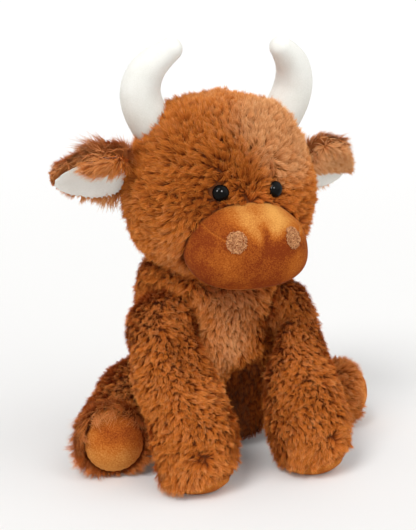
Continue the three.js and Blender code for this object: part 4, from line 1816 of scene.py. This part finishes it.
@dataclass
class Leg:
    """A stuffed leg: its hide, its sole and a coat that runs down it and fans out round the foot."""

    side: Side
    prefix: str
    joint: str
    foot: Vector
    facing: Vector
    foot_radius: float
    sole_radius: float
    sole_name: str
    sole_node: str
    bulge: float
    swirl: Vector
    swirl_reach: float
    fringe: float
    seed: int
    bared: float = 0.0
    skirt: float = 0.0
    fullness: float = 0.0
    overhang: float = 0.6
    flattening: float = 5.5 * MM
    tone_level: float = 0.375
    # Painted highlight on the ring of long fur round the sole.
    ring_tone: float = 0.08
    foot_tone: float = 0.0

    @property
    def body(self) -> str:
        """The body that the leg is."""
        return f"{self.prefix}_leg_{self.side.word}"

    @property
    def root(self) -> Vector:
        """The point that the leg turns about."""
        return joint_place(self.joint)

    def hide(self, wardrobe: Wardrobe) -> Piece:
        """Makes the hide from the leg's filling.

        Args:
            wardrobe: The cow's finishes.

        Returns:
            The hide.
        """
        word = self.side.word
        form = StuffedForm(f"{self.prefix}_leg_hide_{word}", [f"{self.prefix}_leg_filling_{word}"])
        piece = hide_piece(form, self.body, wardrobe, [f"{self.prefix}_leg_skin_{word}"])
        points = points_of(piece)
        outer = triples(piece.data.vertex_normals, "vector")[:, 0] * self.side.value
        climb = (points[:, 2] - self.foot.z) / (self.root.z - self.foot.z)
        full = smoothstep(-0.1, 0.7, outer) * smoothstep(0.1, 0.55, climb) * smoothstep(1.35, 0.9, climb)
        press_in(piece, self.flattening * mound(points, self.root, 30 * MM) - self.fullness * full)
        return piece

    def sole(self, wardrobe: Wardrobe) -> Piece:
        """Makes the sole.

        Args:
            wardrobe: The cow's finishes.

        Returns:
            The sole.
        """
        return Sole(
            f"{self.sole_name}_{self.side.word}",
            f"{self.sole_node}_{self.side.word}",
            self.body,
            self.foot,
            self.facing,
            self.foot_radius,
            self.sole_radius,
            self.bulge,
        ).build(wardrobe)

    def sole_share(self, points: Array) -> Array:
        """The angle of each point from the sole's middle, as a share of the sole's own angle."""
        away = unit(points - np.array(self.foot))
        angle = np.arccos(np.clip(away @ np.array(self.facing), -1, 1))
        return angle / math.asin(self.sole_radius / self.foot_radius)

    def comb(self, points: Array) -> Array:
        """Down the leg, then away from the swirl on the foot and over the sole's rim.

        Args:
            points: The places, one to a row.

        Returns:
            A direction for each point.
        """
        run = np.array((self.foot - self.root).normalized()) + np.array([0, 0, -0.35])
        swirl = np.array(self.swirl)
        away = np.linalg.norm(points - swirl, axis=1)
        near = 0.8 * smoothstep(self.swirl_reach, 0.3 * self.swirl_reach, away)
        fan = unit(points - swirl)
        rim = smoothstep(2.0, 1.15, self.sole_share(points))[:, None]
        lay = run * (1 - near[:, None]) + fan * near[:, None]
        above = smoothstep(-5 * MM, 15 * MM, points[:, 2] - self.foot.z)[:, None]
        over = np.array(self.facing) + 0.5 * fan + np.array([0, 0, -0.5]) * above
        return unit(lay * (1 - rim) + over * rim)

    def reach(self, points: Array) -> Array:
        """Longer fur round the sole, and shorter where the leg presses on the floor.

        Args:
            points: The places, one to a row.

        Returns:
            A share of the coat's length for each point.
        """
        share = self.sole_share(points)
        inner = smoothstep(-12 * MM, 8 * MM, points[:, 0] - self.foot.x)
        outer = smoothstep(-12 * MM, -32 * MM, points[:, 0] - self.foot.x)
        bare = self.bared * inner * smoothstep(1.5, 1.2, share)
        fringe = 1 + (self.fringe + self.skirt * outer) * smoothstep(2.0, 1.2, share)
        return fringe * (1 - bare) * (0.45 + 0.55 * smoothstep(2 * MM, 11 * MM, points[:, 2]))

    def tone(self, points: Array) -> Array:
        """The leg's tone, shifted by foot_tone round the foot, with a painted highlight on its ring of long fur.
        """
        # Painted highlight: the ring of long fur round the sole is made paler.
        ring = smoothstep(1.9, 1.2, self.sole_share(points)) * min(self.fringe, 1)
        foot = mound(points, self.foot, 1.2 * self.foot_radius)
        return self.tone_level + self.foot_tone * foot + self.ring_tone * ring

    def coat(self, hide: Surface, neighbours: Sequence[BVHTree]) -> Coat:
        """The leg's coat, which leaves the sole and the seam against the torso bare.

        Args:
            hide: The part's own surface.
            neighbours: Forms that the part sinks into.

        Returns:
            The coat, ready to grow.
        """

        def cover(points: Array, normals: Array) -> Array:
            """Where the leg's fur grows."""
            return (self.sole_share(points) > 1.0) * clear_of(points, neighbours, MM)

        def pressed_flat(points: Array) -> Array:
            """Flat over the top of the sole."""
            above = smoothstep(-5 * MM, 12 * MM, points[:, 2] - self.foot.z)
            return self.overhang * above * smoothstep(1.45, 1.1, self.sole_share(points))

        return Coat(
            f"{self.prefix}_leg_fur_{self.side.word}",
            self.body,
            hide,
            self.comb,
            cover,
            self.tone,
            self.reach,
            pressed_flat=pressed_flat,
            seed=self.seed,
        )


@dataclass(frozen=True)
class EarSet:
    """What differs between the two ears as the toy sits.

    The ear narrows by the taper, and its tip hangs by the droop and is drawn back by the curl. The pile is
    the fur's length, the tuft how much longer it grows at the head, and the tone how pale it is; the left ear's
    paler tone is painted light. The fold_share is how far up the ear's inside the folded fur ends.
    """

    taper: float
    droop: float
    curl: float
    tuft: float
    pile: float
    fold_share: float
    tone: float


EARS = {
    # The left ear's paler tone is painted light.
    Side.LEFT: EarSet(
        taper=0.5, droop=12 * MM, curl=7 * MM, tuft=0.2, pile=7.5 * MM, fold_share=-0.4, tone=0.85
    ),
    Side.RIGHT: EarSet(
        taper=0.35, droop=-4 * MM, curl=0.0, tuft=0.9, pile=10.5 * MM, fold_share=0.16, tone=0.44
    ),
}


@dataclass
class Ear:
    """A folded ear: fur outside and over its upper edge, pale velour inside."""

    side: Side
    length: float = 68 * MM
    half_width: float = 32 * MM
    fold_slope: float = 0.52
    fold_lift: float = 6 * MM
    fold_roll: float = 11 * MM
    lining_stretch: float = 2 * MM
    lining_nap: float = 0.8

    @property
    def own(self) -> EarSet:
        """What this ear has that the other hasn't."""
        return EARS[self.side]

    @property
    def body(self) -> str:
        """The body that the ear is."""
        return f"ear_{self.side.word}"

    @property
    def pivot(self) -> Vector:
        """The middle of the ear's root."""
        return joint_place(f"ear_flap_{self.side.word}")

    def frame_of_ear(self) -> tuple[Vector, Vector, Vector]:
        """The ear's directions: along it, across it to its upper edge, and out of its lining.

        Returns:
            Three directions of length 1.
        """
        across = joint_axis(f"ear_flap_{self.side.word}")
        low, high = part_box(f"ear_back_{self.side.word}")
        rough = (low + high) / 2 - self.pivot
        along = (rough - across * rough.dot(across)).normalized()
        inner = across.cross(along)
        if inner.y > 0:
            inner.negate()
        return along, across, inner

    def local(self, points: Array) -> tuple[Array, Array, Array]:
        """How far each point lies along the ear, across it and out of its lining."""
        away = points - np.array(self.pivot)
        return tuple(away @ np.array(axis) for axis in self.frame_of_ear())

    def hang(self, piece: Piece, stretch: float) -> None:
        """Bends a piece of the ear as the ear's tip hangs, and draws its tip out by the stretch.

        Args:
            piece: The piece, which is changed.
            stretch: How far the tip is drawn out.
        """
        along, across, _ = self.frame_of_ear()
        for corner in piece.data.vertices:
            share = max((corner.co - self.pivot).dot(along) / self.length, 0)
            beside = (corner.co - self.pivot).dot(across)
            corner.co -= across * (self.own.droop * share + beside * self.own.taper * share**3)
            corner.co += along * (stretch * min(share, 1) ** 3 - self.own.curl * share**2)

    def build(self, wardrobe: Wardrobe, head: BVHTree) -> list[Piece]:
        """Makes the hide, the lining and the two coats.

        Args:
            wardrobe: The cow's finishes.
            head: The head's hide, which the ear's fur stops at.

        Returns:
            The ear's pieces.
        """
        word = self.side.word
        form = StuffedForm(f"ear_hide_{word}", [f"ear_back_{word}"], 2 * MM, 3, -1.6 * MM, 0.6 * MM)
        hide = hide_piece(form, self.body, wardrobe, [f"ear_back_{word}"])
        hide.data.materials[0] = wardrobe.ear_hide
        form = StuffedForm(f"ear_velour_{word}", [f"ear_lining_{word}"], 1.2 * MM, 5, 0.25 * MM, 0.4 * MM)
        lining = form.build()
        spread_nap(lining, np.full(len(lining.data.vertices), self.lining_nap))
        finished(lining, self.body, wardrobe.pale, [f"ear_lining_{word}"])
        fold = self.fold(wardrobe)
        for piece in (hide, lining, fold):
            self.hang(piece, self.lining_stretch if piece is lining else 0.0)
        along, across, inner = (np.array(axis) for axis in self.frame_of_ear())

        def edge(points: Array) -> Array:
            """1 at the ear's two edges, and 0 along its middle."""
            return smoothstep(0.5, 0.95, np.abs(self.local(points)[1]) / self.half_width)

        def back_comb(points: Array) -> Array:
            """To the tip, fanning out to both edges."""
            _, beside, _ = self.local(points)
            return unit(along + across * (beside / self.half_width)[:, None] * 1.6)

        def back_cover(points: Array, normals: Array) -> Array:
            """The outside and the edges."""
            return ((normals @ inner) < 0.5) * clear_of(points, [head], -2 * MM)

        def fold_comb(points: Array) -> Array:
            """To the tip, up at the edge and down over the lining."""
            _, beside, _ = self.local(points)
            rise = smoothstep(0.5, 0.95, beside / self.half_width)[:, None]
            return unit(along - across * (0.3 - 0.9 * rise))

        def fold_cover(points: Array, normals: Array) -> Array:
            """The whole of the fold but its back."""
            return ((normals @ inner) > -0.7) * clear_of(points, [head], -2 * MM)

        def tone(points: Array) -> Array:
            """Paler to the edges, as painted light where light shines through the fur at the rim."""
            return self.own.tone + 0.16 * edge(points)

        def back_tone(points: Array) -> Array:
            """The outside is paler than the fold, as painted light on fur that lies in the fold's shade."""
            return tone(points) + 0.25

        def reach(points: Array) -> Array:
            """Longer fur at the root, and a tuft above it and below it."""
            run = self.local(points)[0] / self.length
            near, tip, rim = smoothstep(0.6, 0.2, run), smoothstep(0.7, 0.95, run), edge(points)
            return 1 - 0.7 * tip + 0.25 * near + 0.3 * rim * (1 - tip) + self.own.tuft * near * rim

        shared = {
            "reach": reach,
            "length": self.own.pile,
            "lean_degrees": 62,
            "disorder_degrees": 13,
            "drift_degrees": 30,
            "strand_area": 0.4e-6,
            "strand_width": 0.36 * MM,
            "lock_pull": 0.68,
            "root_shade": 0.42,
        }
        pieces = [hide, lining, fold]
        for name, ground, comb, cover, shade, seed in (
            ("ear_fur", hide, back_comb, back_cover, back_tone, 60),
            ("ear_fold_fur", fold, fold_comb, fold_cover, tone, 64),
        ):
            surface = Surface.of(ground)
            coat = Coat(f"{name}_{word}", self.body, surface, comb, cover, shade, seed=seed, **shared)
            pieces += coat.grow(wardrobe.fur)
        return pieces

    def fold(self, wardrobe: Wardrobe) -> Piece:
        """Makes the hide that is folded down over the upper part of the lining.

        Args:
            wardrobe: The cow's finishes.

        Returns:
            The fold.
        """
        word = self.side.word
        along, across, inner = self.frame_of_ear()
        piece = StuffedForm(
            f"ear_fold_hide_{word}", [f"ear_lining_{word}"], 1.2 * MM, 5, 0.9 * MM, 0.4 * MM, False
        ).build()
        form = bmesh.new()
        form.from_mesh(piece.data)
        edge = (across - along * self.fold_slope).normalized()
        start = self.pivot + across * self.own.fold_share * self.half_width
        whole = [*form.verts, *form.edges, *form.faces]
        cut = bmesh.ops.bisect_plane(form, geom=whole, plane_co=start, plane_no=edge, clear_inner=True)
        rim = [part for part in cut["geom_cut"] if isinstance(part, bmesh.types.BMEdge)]
        bmesh.ops.holes_fill(form, edges=rim)
        for corner in form.verts:
            away = (corner.co - start).dot(edge) / self.fold_roll
            corner.co += inner * self.fold_lift * math.exp(-(away**2))
        form.to_mesh(piece.data)
        form.free()
        finished(piece, self.body, wardrobe.ear_hide)
        return piece


@dataclass
class Tail:
    """A short furry tail with a fuller tuft."""

    def build(self, wardrobe: Wardrobe) -> list[Piece]:
        """Makes the tail, the tuft and their coat.

        Args:
            wardrobe: The cow's finishes.

        Returns:
            The two hides and their fur.
        """
        def comb(points: Array) -> Array:
            """Down to the tuft's tip."""
            return np.tile([0.0, 0.25, -1.0], (len(points), 1))

        def tone(points: Array) -> Array:
            """The tail's even tone."""
            return np.full(len(points), 0.3)

        hides, furs = [], []
        for node, *sizes in (
            ("tail", 1.5 * MM, 3, -1.5 * MM, 0.5 * MM),
            ("tail_tuft", 2 * MM, 3, -3.0 * MM, 0.8 * MM),
        ):
            form = StuffedForm(f"{node}_hide", [node], *sizes)
            hides.append(hide_piece(form, "tail", wardrobe, [node]))
        for hide, length, seed in zip(hides, (7 * MM, 12 * MM), (71, 72)):
            name = hide.name.replace("hide", "fur")
            coat = Coat(name, "tail", Surface.of(hide), comb, everywhere, tone, seed=seed)
            coat.length, coat.lean_degrees = length, 62
            furs += coat.grow(wardrobe.fur)
        return [*hides, *furs]


def legs() -> list[Leg]:
    """The four legs, from the sizes that the part's own source gives them.

    Returns:
        The legs, front and hind by turns.
    """
    made = []
    origin = Vector((HEAD_CENTRE.x, HEAD_CENTRE.y, 0))
    splay = {Side.LEFT: 78.0, Side.RIGHT: 54.0}
    foot_turn = {Side.LEFT: 75.0, Side.RIGHT: 12.0}
    for side in Side:
        foot = origin + Vector((side.value * 53, -73, 37.7)) * MM
        made.append(
            Leg(
                side,
                "front",
                f"front_leg_swing_{side.word}",
                foot,
                facing=heading(side, 0, -74),
                foot_radius=41 * MM,
                sole_radius=26.5 * MM,
                sole_name="front_sole",
                sole_node="front_hoof_pad",
                bulge=1.0 * MM,
                swirl=foot + Vector((side.value * 6, -38, -4)) * MM,
                swirl_reach=24 * MM,
                fringe=0.3,
                seed=31 + side.value,
                bared=0.65,
                skirt={Side.LEFT: 0.0, Side.RIGHT: 0.9}[side],
                fullness={Side.LEFT: 0.0, Side.RIGHT: 9 * MM}[side],
                foot_tone=-0.05,
            )
        )
        hip = joint_place(f"hind_leg_splay_{side.word}")
        heel = hip + heading(side, splay[side], 0) * 43 * MM
        heel.z = 30.3 * MM
        facing = heading(side, foot_turn[side], 0)
        foot = heel + facing * 14 * MM
        made.append(
            Leg(
                side,
                "hind",
                f"hind_leg_splay_{side.word}",
                foot,
                facing,
                foot_radius=33 * MM,
                sole_radius={Side.LEFT: 24.5, Side.RIGHT: 27}[side] * MM,
                sole_name="hind_sole",
                sole_node="hind_foot_pad",
                bulge={Side.LEFT: 1.0, Side.RIGHT: 2.0}[side] * MM,
                swirl=foot + facing * 20 * MM,
                swirl_reach=50 * MM,
                fringe={Side.LEFT: 0.45, Side.RIGHT: 1.3}[side],
                seed=51 + side.value,
                foot_tone=0.1,
            )
        )
    return made


def fill_the_covers(wardrobe: Wardrobe, torso: Torso) -> None:
    """Makes the fillings and the pellet bag, a little inside their covers, and dresses the washers.

    Args:
        wardrobe: The cow's finishes.
        torso: The torso, which draws its own fillings in with its hide.
    """
    for body, nodes in frame["record"]["behaviour"]["bodies"].items():
        for name in nodes:
            is_bag = name == "seat_pellet_bag"
            if "_filling" not in name and not is_bag:
                continue
            form = StuffedForm(name.replace("_filling", "_stuffing") + ("_cloth" if is_bag else ""), [name])
            form.swell, form.pressed = -2 * MM, False
            piece = form.build()
            if body == "torso":
                torso.draw_in(piece)
            material, slot = (wardrobe.sacking, Slot.BAG) if is_bag else (wardrobe.fibre, Slot.FIBRE)
            finished(piece, body, material, [name])
    for side in Side:
        washer = frame["nodes"][f"eye_washer_{side.word}"]
        washer.data.materials.clear()
        washer.data.materials.append(wardrobe.washer)


# Camera, floor and light


@dataclass
class Studio:
    """A pale floor, soft even light and the camera of the photograph."""

    camera_from_head: Vector = field(default_factory=lambda: Vector((-0.40696, -0.94442, 0.40667)))
    azimuth_degrees: float = -22.76
    elevation_degrees: float = 13.01
    lens_px: float = 1200.0
    frame_long_px: float = 530.0
    sensor: float = 36.0
    floor_reach: float = 60.0
    key_strength: float = 1.8
    fill_strength: float = 1.0
    glint_strength: float = 4.0
    world_strength: float = 0.55
    floor_colour: Colour = (0.81, 0.805, 0.795)
    floor_glow: float = 0.04
    near_floor: float = 0.5
    far_floor: float = 3.0

    @staticmethod
    def aimed(name: str, data: bpy.types.ID, place: Vector, away: Vector) -> Piece:
        """Stands a camera or a lamp at a place, so that it looks against the direction away from the cow.

        Args:
            name: The piece's name.
            data: The camera's or the lamp's data.
            place: Where it stands.
            away: The direction from the cow to it.

        Returns:
            The camera or the lamp.
        """
        piece = linked(name, data)
        piece.location = place
        piece.rotation_mode = "QUATERNION"
        piece.rotation_quaternion = (-away).to_track_quat("-Z", "Y")
        return piece

    def set_camera(self) -> None:
        """Stands the camera where the photograph was taken from."""
        data = bpy.data.cameras.new("photo_view")
        data.sensor_width = self.sensor
        data.lens = self.lens_px / self.frame_long_px * self.sensor
        data.clip_start, data.clip_end = 0.01, 200.0
        place = self.camera_from_head + Vector((HEAD_CENTRE.x, HEAD_CENTRE.y, 0))
        back = heading(Side.LEFT, self.azimuth_degrees, self.elevation_degrees)
        bpy.context.scene.camera = self.aimed("photo_view", data, place, back)

    @staticmethod
    def seen_rays(shader: Shader) -> Socket:
        """1 for the rays that show the background: the camera's, and those off gloss and through glass."""
        rays = shader.node("ShaderNodeLightPath").outputs
        seen = shader.reckon("MAXIMUM", rays["Is Camera Ray"], rays["Is Glossy Ray"])
        return shader.reckon("MAXIMUM", seen, rays["Is Transmission Ray"])

    def lay_floor(self) -> None:
        """Lays the floor."""
        form = bmesh.new()
        bmesh.ops.create_grid(form, x_segments=2, y_segments=2, size=self.floor_reach)
        floor = piece_from("floor", form)
        made, shader, body = principled("floor_paper", Roughness=0.9, Specular_IOR_Level=0.1)
        place = shader.node("ShaderNodeTexCoord").outputs["Object"]
        away = shader.node("ShaderNodeVectorMath", {0: place}, operation="LENGTH")
        far = shader.node(
            "ShaderNodeMapRange",
            {"Value": away.outputs["Value"], "From Min": self.near_floor, "From Max": self.far_floor},
            interpolation_type="SMOOTHSTEP",
        )
        colour = shader.blend(far.outputs[0], self.floor_colour, (0.0, 0.0, 0.0))
        glow = shader.remap(far.outputs[0], To_Min=self.floor_glow)
        seen = shader.reckon("MULTIPLY", self.seen_rays(shader), glow)
        body.inputs["Emission Color"].default_value = (1, 1, 1, 1)
        shader.feed(body, Base_Color=colour, Emission_Strength=seen)
        floor.data.materials.append(made)

    def set_lights(self) -> None:
        """Hangs a wide key light and a wider fill, and makes the world white to the camera."""
        for name, strength, spread, turn, lift in (
            ("key_light", self.key_strength, 26, -52, 48),
            ("fill_light", self.fill_strength, 70, 42, 35),
            ("left_glint", self.glint_strength, 13, -62, 24),
            ("right_glint", self.glint_strength, 13, -8, 24),
        ):
            data = bpy.data.lights.new(name, "SUN")
            data.energy = strength
            data.angle = math.radians(spread)
            away = heading(Side.LEFT, turn, lift)
            lamp = self.aimed(name, data, away * 3, away)
            lamp.visible_diffuse = "glint" not in name
        world = bpy.data.worlds.new("studio_world")
        world.use_nodes = True
        bpy.context.scene.world = world
        shader = Shader(world.node_tree)
        ground = world.node_tree.nodes["Background"]
        ground.inputs["Color"].default_value = (1, 1, 1, 1)
        strength = shader.remap(self.seen_rays(shader), To_Min=self.world_strength, To_Max=1.0)
        shader.feed(ground, Strength=strength)

    def build(self) -> None:
        """Sets the camera, the floor, the lights and the view."""
        self.set_camera()
        self.lay_floor()
        self.set_lights()
        bpy.context.scene.view_settings.view_transform = "Standard"


def main() -> None:
    """Builds the cow round the frame and reports each piece."""
    logging.basicConfig(level=logging.INFO, format="%(name)s: %(message)s")
    Studio().build()
    wardrobe = Wardrobe()

    head, torso, limbs = Head(), Torso(), legs()
    head_hide = Surface.of(head.hide(wardrobe))
    torso_hide = Surface.of(torso.hide(wardrobe))
    limb_hides = [Surface.of(limb.hide(wardrobe)) for limb in limbs]
    head_tree, torso_tree = head_hide.tree(), torso_hide.tree()
    limb_trees = [surface.tree() for surface in limb_hides]

    muzzle = Muzzle()
    muzzle_tree = Surface.of(muzzle.build(wardrobe)).tree()
    horn_trees = []
    for side in Side:
        Nostril(side, muzzle).build(wardrobe, muzzle_tree)
        Eye(side).build(wardrobe)
        horn_trees.append(Surface.of(Horn(side).build(wardrobe)).tree())
        Ear(side).build(wardrobe, head_tree)

    head.coat(head_hide, [muzzle_tree, *horn_trees], [torso_tree]).grow(wardrobe.fur)
    torso.coat(torso_hide, [head_tree, *limb_trees]).grow(wardrobe.fur)
    for limb, surface in zip(limbs, limb_hides):
        limb.sole(wardrobe)
        limb.coat(surface, [torso_tree]).grow(wardrobe.fur)
    Tail().build(wardrobe)
    fill_the_covers(wardrobe, torso)


if __name__ == "__main__":
    main()
